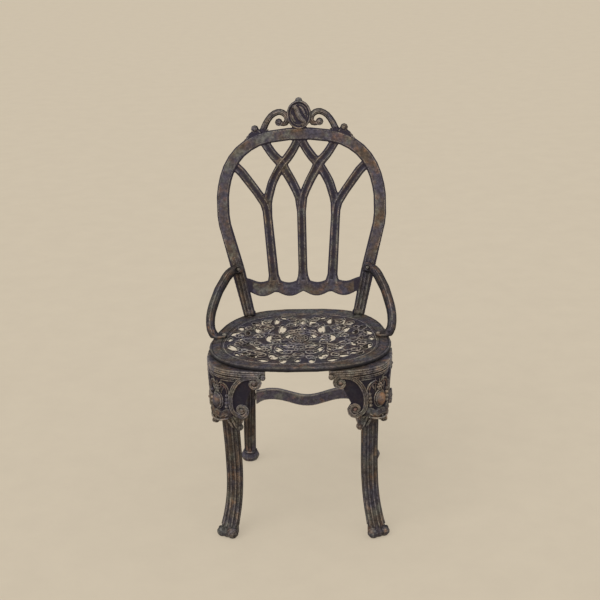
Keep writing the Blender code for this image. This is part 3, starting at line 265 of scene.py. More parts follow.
def worn_paint(name, rust=0.5, rubbed_highlight=1.0, face=None, tone=1.0, edges=True, grime=0.78, base=UMBER):
    """Nearly black paint, stained brown, violet and green, rubbed light on its edges with painted highlights
    there, and with painted shade in its hollows and on its undersides.

    A piece with a face gets painted shade on the sides that turn away from it. Fine lines have no edges of
    their own, so theirs is rubbed and highlit in patches. Corners marked as a recess get the darkest painted
    shade of all.
    """
    material, tree, shader, where = new_material(name)
    normal = add_node(tree, "ShaderNodeNewGeometry", "Normal")

    def noise(scale, detail, seed):
        return add_node(tree, "ShaderNodeTexNoise", 0, {"noise_dimensions": "4D"}, Vector=where, W=seed,
                        Scale=scale, Detail=detail, Roughness=PATCH_ROUGHNESS)

    def facing(direction):
        return add_node(tree, "ShaderNodeVectorMath", "Value", {"operation": "DOT_PRODUCT"},
                        i0=normal, i1=direction)

    broad, chalk, blotch, streak, fine = [noise(*patch) for patch in PATCHES]

    # Stains, with grime between the strokes
    colour = mix(broad.step(0.42, 0.58), base, VIOLET)
    colour = mix(chalk.step(0.5, 0.63) * 0.5, colour, CHALK_GREEN)
    colour = mix(blotch.step(0.53, 0.66) * rust, colour, RUST)
    stroke = (streak * 1.1 + fine * 0.5).step(0.68, 0.92)
    colour = mix((1.0 - stroke) * grime, colour, BLACK)
    # Painted shade on the undersides, and raised parts rubbed light in patches
    painted_shade = (1.0 - facing(UP).step(-0.8, 0.2)) * 0.45
    wear_and_highlight = (blotch * 0.7 + fine * 0.7).step(0.62, 0.86)
    # Pointiness gives painted shade in creases, and rubbed raised edges that are also painted highlights
    if edges:
        edge = add_node(tree, "ShaderNodeNewGeometry", "Pointiness")
        painted_shade = painted_shade.most((1.0 - edge.step(0.455, 0.497)) * 0.94)
        wear_and_highlight = (edge + (blotch - 0.5) * 0.08 + (fine - 0.5) * 0.06).step(0.51, 0.56)
    # Painted shade on the sides that turn away from the piece's face
    if face:
        turned = facing(face)
        turned = turned.most(turned * -1.0)
        painted_shade = painted_shade.most((1.0 - turned.step(0.5, 0.97)) * 0.9)
    # Rubbed edges with painted highlights, held back where the painted shade lies
    colour = mix(wear_and_highlight * rubbed_highlight * (1.0 - painted_shade * 0.6), colour, RUBBED_AND_HIGHLIGHT)
    # The painted shade itself, in near black
    colour = mix(painted_shade, colour, BLACK)
    # Painted shade in the recesses marked on the skins, darkest of all
    recess = add_node(tree, "ShaderNodeAttribute", "Fac", {"attribute_name": "recess"})
    colour = mix(recess * 0.85, colour, RECESS_SHADE)
    if tone != 1.0:
        colour = scaled(colour, tone)
    tree.links.new(colour.socket, shader.inputs["Base Color"])

    rough = 0.5 + blotch * 0.2 + recess * 0.25
    tree.links.new(rough.socket, shader.inputs["Roughness"])
    shader.inputs["Specular IOR Level"].default_value = SHINE
    relief = fine * 0.7 + blotch * 0.8
    bump = add_node(tree, "ShaderNodeBump", 0, Height=relief, Strength=GRAIN, Distance=GRAIN_HEIGHT)
    tree.links.new(bump.socket, shader.inputs["Normal"])
    return material


BACK_LEAN = math.radians(7.0)
BACK_UP = Vector((0.0, math.sin(BACK_LEAN), math.cos(BACK_LEAN)))
BACK_FACE = Vector((0.0, -math.cos(BACK_LEAN), math.sin(BACK_LEAN)))
FRONT = Vector((0.0, -0.86, 0.51))

# A face gives painted shade on the sides that turn away from it. The lighter tones of the fine lines are rubbed
# paint and painted highlights together.
iron_seat = worn_paint("painted_seat_iron", rust=0.45, rubbed_highlight=0.45, face=UP, tone=1.2)
iron_back = worn_paint("painted_back_iron", rust=0.35, rubbed_highlight=0.22, face=BACK_FACE, grime=0.55, tone=1.75)
iron_arms = worn_paint("painted_arm_iron", rust=0.9, rubbed_highlight=0.3, face=FRONT, grime=0.65, tone=1.2)
iron_legs = worn_paint("painted_leg_iron", rust=0.6, rubbed_highlight=0.5, grime=0.65)
iron_rear = worn_paint("painted_rear_iron", rust=0.7, rubbed_highlight=0.5, grime=0.55, tone=1.45)
iron_rail = worn_paint("painted_rail_iron", rust=0.3, rubbed_highlight=0.5, grime=0.5, tone=1.9, base=VIOLET)
iron_shafts = worn_paint("painted_leg_reeds", rust=0.6, rubbed_highlight=0.25, face=FRONT, grime=0.65, tone=1.6,
                         edges=False)
iron_bolts = worn_paint("painted_bolt_iron", rust=0.9, rubbed_highlight=0.5)
# Fine raised lines, painted lighter along their whole length: rubbed paint and painted highlights together
reed_paint = worn_paint("rubbed_highlight_reeds", rust=0.4, rubbed_highlight=0.3, tone=1.9, edges=False)
carving = worn_paint("rubbed_highlight_carving", rust=0.6, rubbed_highlight=0.3, tone=1.9, edges=False)
seat_carving = worn_paint("rubbed_highlight_seat_carving", rust=0.25, rubbed_highlight=0.4, tone=2.5, edges=False, face=UP,
                          grime=0.5)
rust_paint = worn_paint("rust_stain", rust=0.9, rubbed_highlight=0.15, tone=1.3, edges=False, grime=0.4, base=RUST)
red_brown = worn_paint("rusty_carving", rust=0.4, rubbed_highlight=0.2, tone=1.3, edges=False, grime=0.5, base=RED_BROWN)
print("paints:", [m.name for m in bpy.data.materials if m.name.startswith(("painted", "rubbed_highlight", "rust"))])

# %% [markdown]
# ## The soft skin of a casting
#
# Iron that was poured into sand has no knife edges. The paint rounds them further. Each casting's solid is
# therefore copied, remade as one even skin by a voxel remesh and then smoothed a little, which rounds all
# its edges at once. The new piece stands for the solid, in the same place.

# %% Remake each casting as one soft skin
# Voxel size in metres, rounds of smoothing and paint
SKINS = {
    "seat_casting": (0.0017, 2, iron_seat),
    "back_casting": (0.0013, 2, iron_back),
    "arm_left": (0.0015, 12, iron_arms),
    "arm_right": (0.0015, 12, iron_arms),
    "front_leg_left": (0.0012, 4, iron_legs),
    "front_leg_right": (0.0012, 4, iron_legs),
    "rear_leg_left": (0.0014, 6, iron_rear),
    "rear_leg_right": (0.0014, 6, iron_rear),
    "rear_stretcher": (0.0016, 5, iron_rail),
}


def soft_skin(node):
    voxel, rounds, material = SKINS[node]
    piece = copy_of(node, node + "_skin")
    apply_modifier(piece, "REMESH", mode="VOXEL", voxel_size=voxel, use_smooth_shade=True)
    apply_modifier(piece, "SMOOTH", factor=0.5, iterations=rounds)
    pick(piece)
    bpy.ops.object.shade_smooth()
    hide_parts(node)
    return place(piece, material)


skins = {node: soft_skin(node) for node in SKINS}
for node, piece in skins.items():
    print(node, len(piece.data.polygons), "faces")

# %% [markdown]
# ## Fasteners
#
# The screws, bolts and nuts are turned and forged pieces with their own crisp shape, so their solids stay
# and only get the paint.

# %% Paint the fasteners
CRISP = math.radians(35)
fasteners = [item for node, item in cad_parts.items() if node not in SKINS]
for item in fasteners:
    item.data.materials.clear()
    item.data.materials.append(iron_bolts)
    pick(item)
    bpy.ops.object.shade_smooth_by_angle(angle=CRISP)
print("fasteners painted:", len(fasteners))

# %% [markdown]
# ## Ribs round the seat's openings
#
# The seat is a net of leafy scrolls, and each opening has a thin raised rib beside it. Drawing them by hand
# would be slow. The openings' edges are already there, so the flat top of the seat is selected, drawn in by
# a little, and its outline becomes a curve with a round section.

# %% Lay a rib beside every opening
FIELD_TOP, SEAT_TOP = 0.4118, 0.4135
RIB = 0.0011
FLAT, SAME_HEIGHT = 0.99, 0.0002


def seat_outline(height, setback):
    """The outline of the seat's flat top at a height, drawn in from its edges, as a loose line."""
    piece = copy_of("seat_casting", "outline")
    edit_only(piece, lambda face: face.normal.z > FLAT and abs(face.center.z - height) < SAME_HEIGHT,
              "polygons")
    bpy.ops.mesh.inset(thickness=setback, use_boundary=True, use_even_offset=True)
    bpy.ops.mesh.region_to_loop()
    bpy.ops.mesh.duplicate()
    bpy.ops.mesh.separate(type="SELECTED")
    done()
    line = [item for item in bpy.context.selected_objects if item is not piece][0]
    bpy.data.objects.remove(piece)
    return line


def spread(values, count):
    """Values shared out evenly over a number of points."""
    result = []
    for i in range(count):
        run = i / (count - 1) * (len(values) - 1)
        low = min(int(run), len(values) - 2)
        result.append(values[low] + (values[low + 1] - values[low]) * (run - low))
    return result


def thicken(line, radius, taper=None, sides=1):
    """A loose line as a round bar, with a taper from its first point to its last."""
    pick(line)
    bpy.ops.object.convert(target="CURVE")
    curve = bpy.context.object
    curve.data.dimensions = "3D"
    curve.data.bevel_depth = radius
    curve.data.bevel_resolution = sides
    curve.data.use_fill_caps = True
    if taper:
        points = curve.data.splines[0].points
        for point, share in zip(points, spread(taper, len(points))):
            point.radius = share
    bpy.ops.object.convert(target="MESH")
    return close_up(bpy.context.object)


finish(gather([thicken(seat_outline(FIELD_TOP, 0.0016), RIB)], "seat_ribs"), seat_carving)
finish(gather([thicken(seat_outline(SEAT_TOP, 0.003), RIB)], "rim_line"), iron_shafts)

# %% [markdown]
# ## Lines, beads and leaves
#
# All ornament of this chair is made of three things: a raised line, a bead and a leaf. A line is drawn by
# extruding one corner from place to place. A bead is a ball, cut flat where it meets the casting. A leaf
# starts as a ball too, drawn out to a point and creased along its middle.


# %% A drawn line
def flowing(points, steps=3):
    """Points along one smooth curve through the given points."""
    points = [Vector(point) for point in points]
    ends = [2 * points[0] - points[1]] + points + [2 * points[-1] - points[-2]]
    curve = []
    for a, b, c, d in zip(ends, ends[1:], ends[2:], ends[3:]):
        for step in range(steps):
            t = step / steps
            curve.append(0.5 * (2 * b + (c - a) * t + (2 * a - 5 * b + 4 * c - d) * t ** 2
                                + (3 * b - a - 3 * c + d) * t ** 3))
    return curve + [points[-1]]


def raised_line(points, radius, taper=None, sides=1):
    """A round bar along a line, which is drawn by extruding one corner along the points."""
    pick()
    bpy.ops.mesh.primitive_plane_add(size=0.001, location=points[0])
    line = bpy.context.object
    edit(line)
    bpy.ops.mesh.merge(type="CENTER")
    for a, b in zip(points, points[1:]):
        bpy.ops.mesh.extrude_region_move(TRANSFORM_OT_translate={"value": b - a})
    done()
    return thicken(settle(line), radius, taper, sides)


def line_on(surface, line, depth, radius, taper=None, sides=1):
    """A raised line over a surface, from flat points. Its depth is a number, or one for each point."""
    depths = depth if isinstance(depth, list) else [depth] * len(line)
    return raised_line([surface(*point, out) for point, out in zip(line, depths)], radius, taper, sides)


# %% A bead and a leaf
def bead_model():
    """A ball of unit size, cut flat behind its middle. Its face looks along Z."""
    pick()
    bpy.ops.mesh.primitive_uv_sphere_add(segments=12, ring_count=8, radius=1.0)
    bead = bpy.context.object
    bead.name = "bead_model"
    edit(bead)
    bpy.ops.mesh.bisect(plane_co=(0.0, 0.0, -0.45), plane_no=UP, clear_inner=True, use_fill=True)
    done()
    return close_up(bead)


def leaf_model():
    """A pointed leaf of unit length along Y, creased along its middle. Its face looks along Z."""
    pick()
    bpy.ops.mesh.primitive_uv_sphere_add(segments=12, ring_count=9, radius=0.5,
                                         rotation=(math.pi / 2, 0.0, 0.0))
    leaf = settle(bpy.context.object)
    leaf.name = "leaf_model"
    edit(leaf)
    # Flatter and narrower, then drawn in towards the tip, creased, and lifted at the tip
    bpy.ops.transform.resize(value=(0.52, 1.0, 0.34))
    edit_only(leaf, lambda corner: corner.co.y < -0.28)
    bpy.ops.transform.resize(value=(0.45, 1.0, 0.6), center_override=(0.0, 0.0, 0.0))
    edit_only(leaf, lambda corner: abs(corner.co.x) < 0.02 and corner.co.z > 0.02)
    bpy.ops.transform.translate(value=(0.0, 0.0, -0.09))
    edit_only(leaf, lambda corner: corner.co.y < -0.35)
    bpy.ops.transform.translate(value=(0.0, 0.0, 0.06))
    done()
    apply_modifier(leaf, "SUBSURF", levels=1, render_levels=1)
    return close_up(leaf)


BEAD, LEAF = bead_model(), leaf_model()
print("bead", len(BEAD.data.polygons), "faces, leaf", len(LEAF.data.polygons), "faces")


# %% Copies at given places
def copies(model, spots):
    """Copies of a model at the given places, as one piece."""
    made = [free_copy(model, "copy") for _ in spots]
    for item, place_on in zip(made, spots):
        item.matrix_world = place_on
    return settle(gather(made, "copies"))


def spot(centre, across, upward, size, turn=0.0):
    """A place for a model: centre, X and Y directions, size along X, Y and Z, and a turn in degrees."""
    outward = across.cross(upward)
    swing = Matrix.Rotation(math.radians(turn), 3, outward)
    facing = Matrix((swing @ across, swing @ upward, outward)).transposed().to_4x4()
    return Matrix.Translation(centre) @ facing @ Matrix.Diagonal((*size, 1.0))


# %% [markdown]
# ## The carved knees
#
# Each front leg's knee wraps the seat's corner like a bent sheet. The pattern maker carved it flat and then
# bent it, and so does this step: a place on it is given by its run from the corner, its height and how far
# it stands out, and one function bends it round the corner.

# %% Places on the knee
SEAT_Y = -0.0551
KNEE_HALF, KNEE_REACH = 0.2, 0.157
KNEE_TOP, KNEE_HEIGHT = 0.4042, 0.1215
WING_REACH = 0.1115
KNEE_STEPS = 400


def knee_points():
    """The knee's line on the right, from the side to the front, with its length from the corner."""
    angles = [math.pi / 2 * i / KNEE_STEPS for i in range(KNEE_STEPS + 1)]
    line = [Vector((KNEE_HALF * math.cos(angle) ** 0.5, SEAT_Y - KNEE_REACH * math.sin(angle) ** 0.5))
            for angle in angles]
    lengths = [0.0]
    for a, b in zip(line, line[1:]):
        lengths.append(lengths[-1] + (b - a).length)
    corner = max(i for i in range(1, KNEE_STEPS)
                 if abs(line[i + 1].x - line[i - 1].x) < abs(line[i + 1].y - line[i - 1].y))
    return line, [length - lengths[corner] for length in lengths]


KNEE_LINE, KNEE_RUNS = knee_points()


def knee_frame(run):
    """The place on the knee's line, and the directions along it and out of it."""
    k = max(i for i in range(KNEE_STEPS) if KNEE_RUNS[i] <= run)
    share = (run - KNEE_RUNS[k]) / (KNEE_RUNS[k + 1] - KNEE_RUNS[k])
    along = (KNEE_LINE[k + 1] - KNEE_LINE[k]).normalized()
    return KNEE_LINE[k].lerp(KNEE_LINE[k + 1], share), along.to_3d(), Vector((-along.y, along.x, 0.0))


def on_knee(run, rise, out):
    """A place from its run, its height from the knee's top and how far it stands out."""
    flat, _, outward = knee_frame(run)
    return flat.to_3d() + outward * out + UP * (KNEE_TOP + rise)


def knee_spot(run, down, out, width, length, depth, turn=0.0):
    """A place for a bead or leaf on the knee: down is a share of its height, and the turn is in degrees."""
    return spot(on_knee(run, -KNEE_HEIGHT * down, out), -knee_frame(run)[1], UP, (width, length, depth), turn)


print("knee corner at", [round(v, 4) for v in on_knee(0.0, 0.0, 0.0)])


# %% Flat lines: beside a line, spirals, ovals and mirror images
def beside(line, offset):
    """A flat line moved sideways by an offset in metres, or by one offset for each point."""
    moved = []
    for i, point in enumerate(line):
        ahead = (line[min(i + 1, len(line) - 1)] - line[max(i - 1, 0)]).normalized()
        size = offset[i] if isinstance(offset, list) else offset
        moved.append(point + Vector((-ahead.y, ahead.x)) * size)
    return moved


def oval(centre, width, height, count=20, first=0.0, last=360.0, end_share=1.0):
    """A flat oval, or the part between two angles in degrees, which may wind in to a share of its size."""
    line = []
    for share, angle in zip(spread((0.5, end_share / 2), count + 1), spread((first, last), count + 1)):
        angle = math.radians(angle)
        line.append(Vector((centre[0] + width * share * math.cos(angle),
                            centre[1] + height * share * math.sin(angle))))
    return line


def spiral(centre, radius, start, turns, count, end_share=0.3):
    return oval(centre, 2 * radius, 2 * radius, count - 1, start, start + 360 * turns, end_share)


def between(start, end, shares):
    """Flat points from their shares of the way across and up from a start to an end."""
    return [Vector((start[0] + (end[0] - start[0]) * x, start[1] + (end[1] - start[1]) * y)) for x, y in shares]


def mirrored(line, side=-1):
    """The mirror image of a flat line, or with side 1 the line itself."""
    return [Vector((side * point.x, point.y)) for point in line]


print("an oval's last point:", [round(v, 3) for v in oval((0.0, 0.0), 2.0, 1.0)[-1]])

# %% [markdown]
# ## Scrolls and beads on the knees
#
# Each wing carries a big C-scroll. Two fine lines follow its edges into the two curls, and a red-brown eye
# closes each curl. Between the scrolls, an oval boss stands on the corner under a double arch, with a small
# flower above it, fronds below and a row of beads on each side.

# %% The C-scrolls of the right knee
# The curls' middles and the spine between them, as shares of the wing's reach and of the knee's height
CURLS = ((0.8, 0.225), (0.53, 0.745))
SPINE = ((0.58, 0.145), (0.42, 0.28), (0.32, 0.52), (0.355, 0.78))


def knee_places(pairs):
    """Flat points from shares of the wing's reach and of the knee's height."""
    return between((0.0, 0.0), (WING_REACH, -KNEE_HEIGHT), pairs)


def scroll_line():
    upper, lower = knee_places(CURLS)
    upper_curl = spiral(upper, 0.015, 90, -1.15, 16)
    lower_curl = spiral(lower, 0.0155, -90, 1.15, 16)
    spine = flowing([upper_curl[0]] + knee_places(SPINE) + [lower_curl[0]], 4)
    return upper_curl[::-1] + spine[1:-1] + lower_curl


def knee_scrolls():
    """The scrolls' edge lines, their eyes and the places of the grounds under the eyes."""
    edges, eyes, grounds = [], [], []
    line = scroll_line()
    widths = spread((0.45, 0.7, 1.05, 1.25, 1.05, 0.7, 0.45), len(line))
    for mirror in (1, -1):
        for side in (1, -1):
            edge = mirrored(beside(line, [side * 0.0031 * width for width in widths]), mirror)
            edges.append(line_on(on_knee, edge, 0.0026, 0.00125, (0.7, 1.1, 1.2, 1.1, 0.7)))
        for across, down in CURLS:
            run = mirror * WING_REACH * across
            eyes.append(copies(BEAD, [knee_spot(run, down, 0.0022, 0.0042, 0.0042, 0.004)]))
            grounds.append(knee_spot(run, down, -0.0012, 0.0118, 0.0118, 0.0022))
    return edges, eyes, grounds


scroll_edges, scroll_eyes, scroll_grounds = knee_scrolls()
print("scroll lines and eyes:", len(scroll_edges), len(scroll_eyes))

# %% Mouldings, panel and arch
# Lines along the cap band: height share, how far out, radius, reach to each side and steps
BAND = ((0.052, 0.0022, 0.0021, 0.104, 24), (0.088, 0.0022, 0.0019, 0.104, 24),
        (0.14, 0.0012, 0.0016, 0.104, 24), (0.172, 0.0008, 0.001, 0.06, 24),
        (0.012, 0.0028, 0.0013, 0.111, 26))
PANEL = ((0.105, 0.47), (0.105, 0.3425), (0.105, 0.215), (0.2525, 0.21), (0.4, 0.205))
ARCH = ((0.288, 0.5), (0.272, 0.37), (0.2, 0.285), (0.1, 0.262), (0.035, 0.31))
ARCH_GAP = 0.005
COLLAR_HALF = 0.03


def knee_mouldings():
    """The raised lines round the oval, and apart from them the red-brown inner arches."""
    lines, inner = [], []
    for down, out, radius, reach, steps in BAND:
        band = [(run, -KNEE_HEIGHT * down) for run in spread((-reach, reach), steps + 1)]
        lines.append(line_on(on_knee, band, out, radius))
    for mirror in (1, -1):
        lines.append(line_on(on_knee, mirrored(knee_places(PANEL), mirror), 0.0004, 0.0013))
        arch = flowing(mirrored(knee_places(ARCH), mirror), 3)
        taper = (0.6, 1.0, 1.1, 1.0, 0.6)
        lines.append(line_on(on_knee, arch, 0.0008, 0.0018, taper))
        inner.append(line_on(on_knee, beside(arch, mirror * ARCH_GAP), 0.0008, 0.0012, taper))
        # A rolled end under each end of the band
        lines.append(copies(BEAD, [knee_spot(mirror * 0.1085, 0.115, 0.0, 0.0062, 0.007, 0.0052)]))
    runs = spread((-COLLAR_HALF, COLLAR_HALF), 15)
    collar = [(run, -KNEE_HEIGHT * (0.972 - 0.05 * (run / COLLAR_HALF) ** 2)) for run in runs]
    lines.append(line_on(on_knee, collar, [0.0098 - 9.0 * run ** 2 for run in runs], 0.0022,
                         (0.6, 1.0, 1.0, 0.6)))
    return lines, inner


moulding_lines, inner_arches = knee_mouldings()
print("mouldings:", len(moulding_lines), "and inner arches:", len(inner_arches))

# %% The oval, the flower, the beads and the leaves
OVAL_DOWN, FLOWER_DOWN = 0.62, 0.395
# Leaves on each side: run, height share, how far out, width, length, depth and turn in degrees
SIDE_LEAVES = (
    (0.0075, 0.885, 0.005, 0.008, 0.019, 0.0085, 20), (0.015, 0.865, 0.005, 0.008, 0.019, 0.0085, 42),
    (0.0215, 0.885, 0.005, 0.008, 0.019, 0.0085, 62), (0.03, 0.6, 0.0002, 0.006, 0.024, 0.005, 4),
    (0.017, 0.375, 0.0004, 0.008, 0.013, 0.0055, 25))


def knee_ornament():
    centre = (0.0, -KNEE_HEIGHT * OVAL_DOWN)
    rings = [line_on(on_knee, oval(centre, 0.024, 0.0325, 24), 0.0034, 0.0013),
             line_on(on_knee, oval(centre, 0.03, 0.0395, 26), 0.0006, 0.0014)]
    # A flower of beads above the oval, with a leaf over it
    beads = [knee_spot(0.0, FLOWER_DOWN, 0.0015, 0.0034, 0.0034, 0.0034)]
    for petal in oval((0.0, -KNEE_HEIGHT * FLOWER_DOWN), 0.012, 0.0124, 6)[:-1]:
        beads.append(knee_spot(petal.x, -petal.y / KNEE_HEIGHT, 0.0008, 0.0027, 0.0031, 0.0028))
    leaves = [knee_spot(0.0, 0.285, 0.0008, 0.007, 0.0125, 0.006, 180)]
    for mirror in (1, -1):
        # A chain of beads beside the oval, larger towards its middle
        for i in range(5):
            size = 0.0036 + 0.001 * math.sin(math.pi * (i + 0.5) / 5)
            beads.append(knee_spot(mirror * (0.0262 - 0.0006 * i), 0.5 + 0.072 * i, 0.0004, size, size, size))
        leaves += [knee_spot(mirror * run, *rest, mirror * turn) for run, *rest, turn in SIDE_LEAVES]
    leaves.append(knee_spot(0.0, 0.905, 0.0085, 0.0085, 0.02, 0.008))
    return rings + [copies(BEAD, beads), copies(LEAF, leaves)]


knee_middle = knee_ornament()
print("oval rings, beads and leaves:", [len(piece.data.polygons) for piece in knee_middle], "faces")

# %% [markdown]
# ## Shafts, toes and collars
#
# Under the knee, a collar of leaves hides where the shaft begins. On its inner front an acanthus leaf rolls
# over, and its outer end is a curl. Ten reeds run down the shaft, following its bend, and the foot ends in
# two round toes. Then all carving of the right leg is joined by paint and mirrored to the left one.

# %% The shaft's reeds and the toes
COLLAR = on_knee(0.0, 0.0, -0.0265) - UP * (KNEE_HEIGHT - 0.002)
LEG_TURN = math.radians(65.0)
FOOT_AHEAD = Vector((math.cos(LEG_TURN), -math.sin(LEG_TURN), 0.0))
FOOT_KICK = 0.03
ANKLE = on_knee(0.0, 0.0, -0.031) - UP * KNEE_TOP
SHAFT_RADIUS, SUNK = 0.0178, 0.001
REEDS = 10
# Height share from the floor to the knee, share of the foot's kick, and radius share
SHAFT = ((0.085, 0.87, 1.1), (0.15, 0.55, 1.0), (0.25, 0.17, 0.96), (0.38, -0.09, 0.95),
         (0.55, -0.18, 0.96), (0.76, -0.1, 0.95), (0.92, 0.0, 0.98), (0.985, 0.0, 1.0))


def flat_way(angle):
    """The level direction at an angle."""
    return Vector((math.cos(angle), math.sin(angle), 0.0))


def shaft_reeds():
    pieces = []
    for i in range(REEDS):
        outward = flat_way(2 * math.pi * i / REEDS - LEG_TURN)
        line = [ANKLE + FOOT_AHEAD * (FOOT_KICK * kick) + UP * ((KNEE_TOP - KNEE_HEIGHT) * height)
                + outward * (SHAFT_RADIUS * size - SUNK) for height, kick, size in SHAFT]
        pieces.append(raised_line(flowing(line, 3), 0.003, (0.8, 1.1, 1.0, 1.0, 1.0, 0.9)))
    return pieces


def foot_lobes():
    """The foot's two round toes, each with a fine line round it."""
    aside = Vector((-FOOT_AHEAD.y, FOOT_AHEAD.x, 0.0))
    pad = ANKLE + FOOT_AHEAD * FOOT_KICK
    pieces = []
    for side in (-1, 1):
        ahead = (FOOT_AHEAD + aside * (0.55 * side)).normalized()
        across = UP.cross(ahead).normalized()
        centre = pad + aside * (0.012 * side) + FOOT_AHEAD * 0.007 + UP * 0.0118
        pieces.append(copies(BEAD, [spot(centre, across, UP, (0.0125, 0.0112, 0.0135))]))
        ring = [centre + ahead * 0.0045 + across * point.x + UP * point.y
                for point in oval((0.0, 0.0), 0.0244, 0.0216, 14, -15, 195)]
        pieces.append(raised_line(ring, 0.0016, (0.5, 1.0, 0.5)))
    return pieces


leg_reeds = gather(shaft_reeds() + foot_lobes(), "leg_reeds_right")
print("leg reeds:", len(leg_reeds.data.polygons), "faces")

# %% The collar's leaves and curl
# The acanthus leaf's parts: place across, place up, turn in degrees, width and length
ACANTHUS = ((0.0, -0.01, 0, 0.013, 0.042), (-0.0095, -0.004, 22, 0.011, 0.034),
            (0.0095, -0.004, -22, 0.011, 0.034), (-0.0065, 0.006, 42, 0.009, 0.022),
            (0.0065, 0.006, -42, 0.009, 0.022), (0.018, -0.004, -30, 0.01, 0.028))
CURL_STEPS = 19


def collar_leaves():
    """An acanthus leaf that rolls over the collar's inner front, and leaves round the rest of the collar."""
    front = COLLAR + Vector((-0.0215, -0.0195, -0.006))
    across = UP.cross(Vector((-0.42, -0.9, 0.0)).normalized()).normalized()
    leaves = [spot(front + across * aside + UP * rise, across, UP, (width, length, 0.01), turn)
              for aside, rise, turn, width, length in ACANTHUS]
    for degrees in range(10, 211, 40):
        outward = flat_way(math.radians(degrees))
        leaves.append(spot(COLLAR + outward * 0.019 - UP * 0.008, UP.cross(outward), UP, (0.011, 0.022, 0.009)))
    return copies(LEAF, leaves)


def collar_curl():
    """A spiral on the bead that ends the collar. It stands out more towards its eye."""
    centre = COLLAR + Vector((0.0275, -0.0085, -0.007))
    outward = Vector((0.25, -0.95, 0.1)).normalized()
    across = UP.cross(outward).normalized()
    high = outward.cross(across)

    def on_curl(x, y, out):
        return centre + across * x + high * y + outward * out

    curl = spiral((0.0, 0.0), 0.0072, 200, -1.5, CURL_STEPS, 0.15)
    return line_on(on_curl, curl, spread((0.0075, 0.0087), CURL_STEPS), 0.0013)


carved = scroll_edges + moulding_lines + knee_middle + [collar_leaves(), collar_curl()]
oval_cap = knee_spot(0.0, OVAL_DOWN, 0.0056, 0.0104, 0.0148, 0.007)
knee = ((leg_reeds, iron_shafts), (gather(carved, "knee_carving_right"), carving),
        (gather([copies(BEAD, [oval_cap])], "oval_cap_right"), rust_paint),
        (gather([copies(BEAD, scroll_grounds)], "scroll_grounds_right"), iron_legs),
        (gather(scroll_eyes + inner_arches, "rusty_carving_right"), red_brown))
for piece, material in knee:
    finish(piece, material)

# %% [markdown]
# ## The back: reeds, edges and crest
#
# The back was carved flat and then leaned, so its ornament is drawn on the flat panel as well: across,
# height and depth. Fine raised lines make the bars' twin reeds. Where one bar passes over another, the
# lower one's lines stop, so the arches seem woven.

# %% Draw on the leaning panel
STILE_X, STILE_Y = 0.1293, 0.1219
PANEL_FOOT = Vector((0.0, STILE_Y, SEAT_TOP))
WAIST_X, WAIST_RISE = 0.1515, 0.112
HOOP_X, HOOP_RISE = 0.1835, 0.4275
RAIL_TOP = 0.1
HOOP_SHARES = ((0.899, 0.146), (0.981, 0.333), (1.0, 0.475), (0.98, 0.612), (0.903, 0.758), (0.757, 0.876),
               (0.535, 0.958), (0.275, 0.992), (0.0, 1.0))


def on_back(across, height, depth):
    """A place on the back's panel, from its flat place."""
    return PANEL_FOOT + Vector((across, 0.0, 0.0)) + BACK_UP * height + BACK_FACE * depth


def back_spot(across, height, depth, width, length, thick, turn=0.0):
    return spot(on_back(across, height, depth), Vector((1.0, 0.0, 0.0)), BACK_UP, (width, length, thick), turn)


def hoop_half():
    """The hoop's centre line on the right, from the seat to the crown."""
    points = [Vector((STILE_X - 0.001, -0.006)), Vector((WAIST_X, WAIST_RISE))]
    points += between((0.0, WAIST_RISE), (HOOP_X, HOOP_RISE), HOOP_SHARES)
    whole = flowing(points + mirrored(points[:-1])[::-1], 4)
    return whole[:len(whole) // 2 + 1]


HOOP = hoop_half()
WHOLE_HOOP = HOOP + mirrored(HOOP[:-1])[::-1]


def hoop_height(x):
    upper = [point for point in HOOP if point.y > WAIST_RISE + 0.1]
    for a, b in zip(upper, upper[1:]):
        if b.x <= x <= a.x:
            return a.y + (b.y - a.y) * (a.x - x) / (a.x - b.x)
    return upper[-1].y


print("hoop:", len(WHOLE_HOOP), "points, crown at", round(hoop_height(0.0), 4))


# %% The hoop's edge lines and the stiles' reeds
def hoop_lines():
    upper = [point for point in WHOLE_HOOP if point.y > RAIL_TOP]
    return [line_on(on_back, beside(upper, offset), 0.0064, 0.0009) for offset in (0.0098, -0.0104)]


def stile_reeds():
    """Three reeds on each stile. They stand out more near the seat."""
    pieces = []
    lower = [Vector((STILE_X - 0.0003, 0.0015)), Vector((STILE_X + 0.0006, 0.01))]
    lower += [point for point in HOOP if 0.016 < point.y < 0.15]
    for line in (lower, mirrored(lower)):
        for offset in (-0.008, 0.0, 0.008):
            reed = beside(line, offset)
            depths = [0.0058 + max(0.0, 0.012 - point.y) * 0.45 for point in reed]
            pieces.append(line_on(on_back, reed, depths, 0.0034, (1.0, 1.0, 1.0, 0.9, 0.3)))
    return pieces


finish(gather(stile_reeds(), "stile_reeds"), iron_shafts)

# %% The arches' reeds
SIDE_FOOT, SIDE_SPLIT = Vector((0.068, 0.076)), Vector((0.0805, 0.25))
MIDDLE_FOOT, MIDDLE_SPLIT = Vector((0.0, 0.076)), Vector((0.0, 0.26))
# Each branch as shares of the way across and up from its split to its end
OUTER = ((0.15, 0.26), (0.41, 0.52), (0.71, 0.8), (1.0, 1.0))
INNER = ((0.02, 0.1), (0.12, 0.27), (0.3, 0.465), (0.54, 0.67), (0.78, 0.84), (1.0, 1.0))
CROSSING = ((0.06, 0.13), (0.23, 0.32), (0.5, 0.56), (0.76, 0.78), (1.0, 1.0))
BAR_HALF, MULLION_HALF = 0.0107, 0.0104
REED_SHARE = 0.56


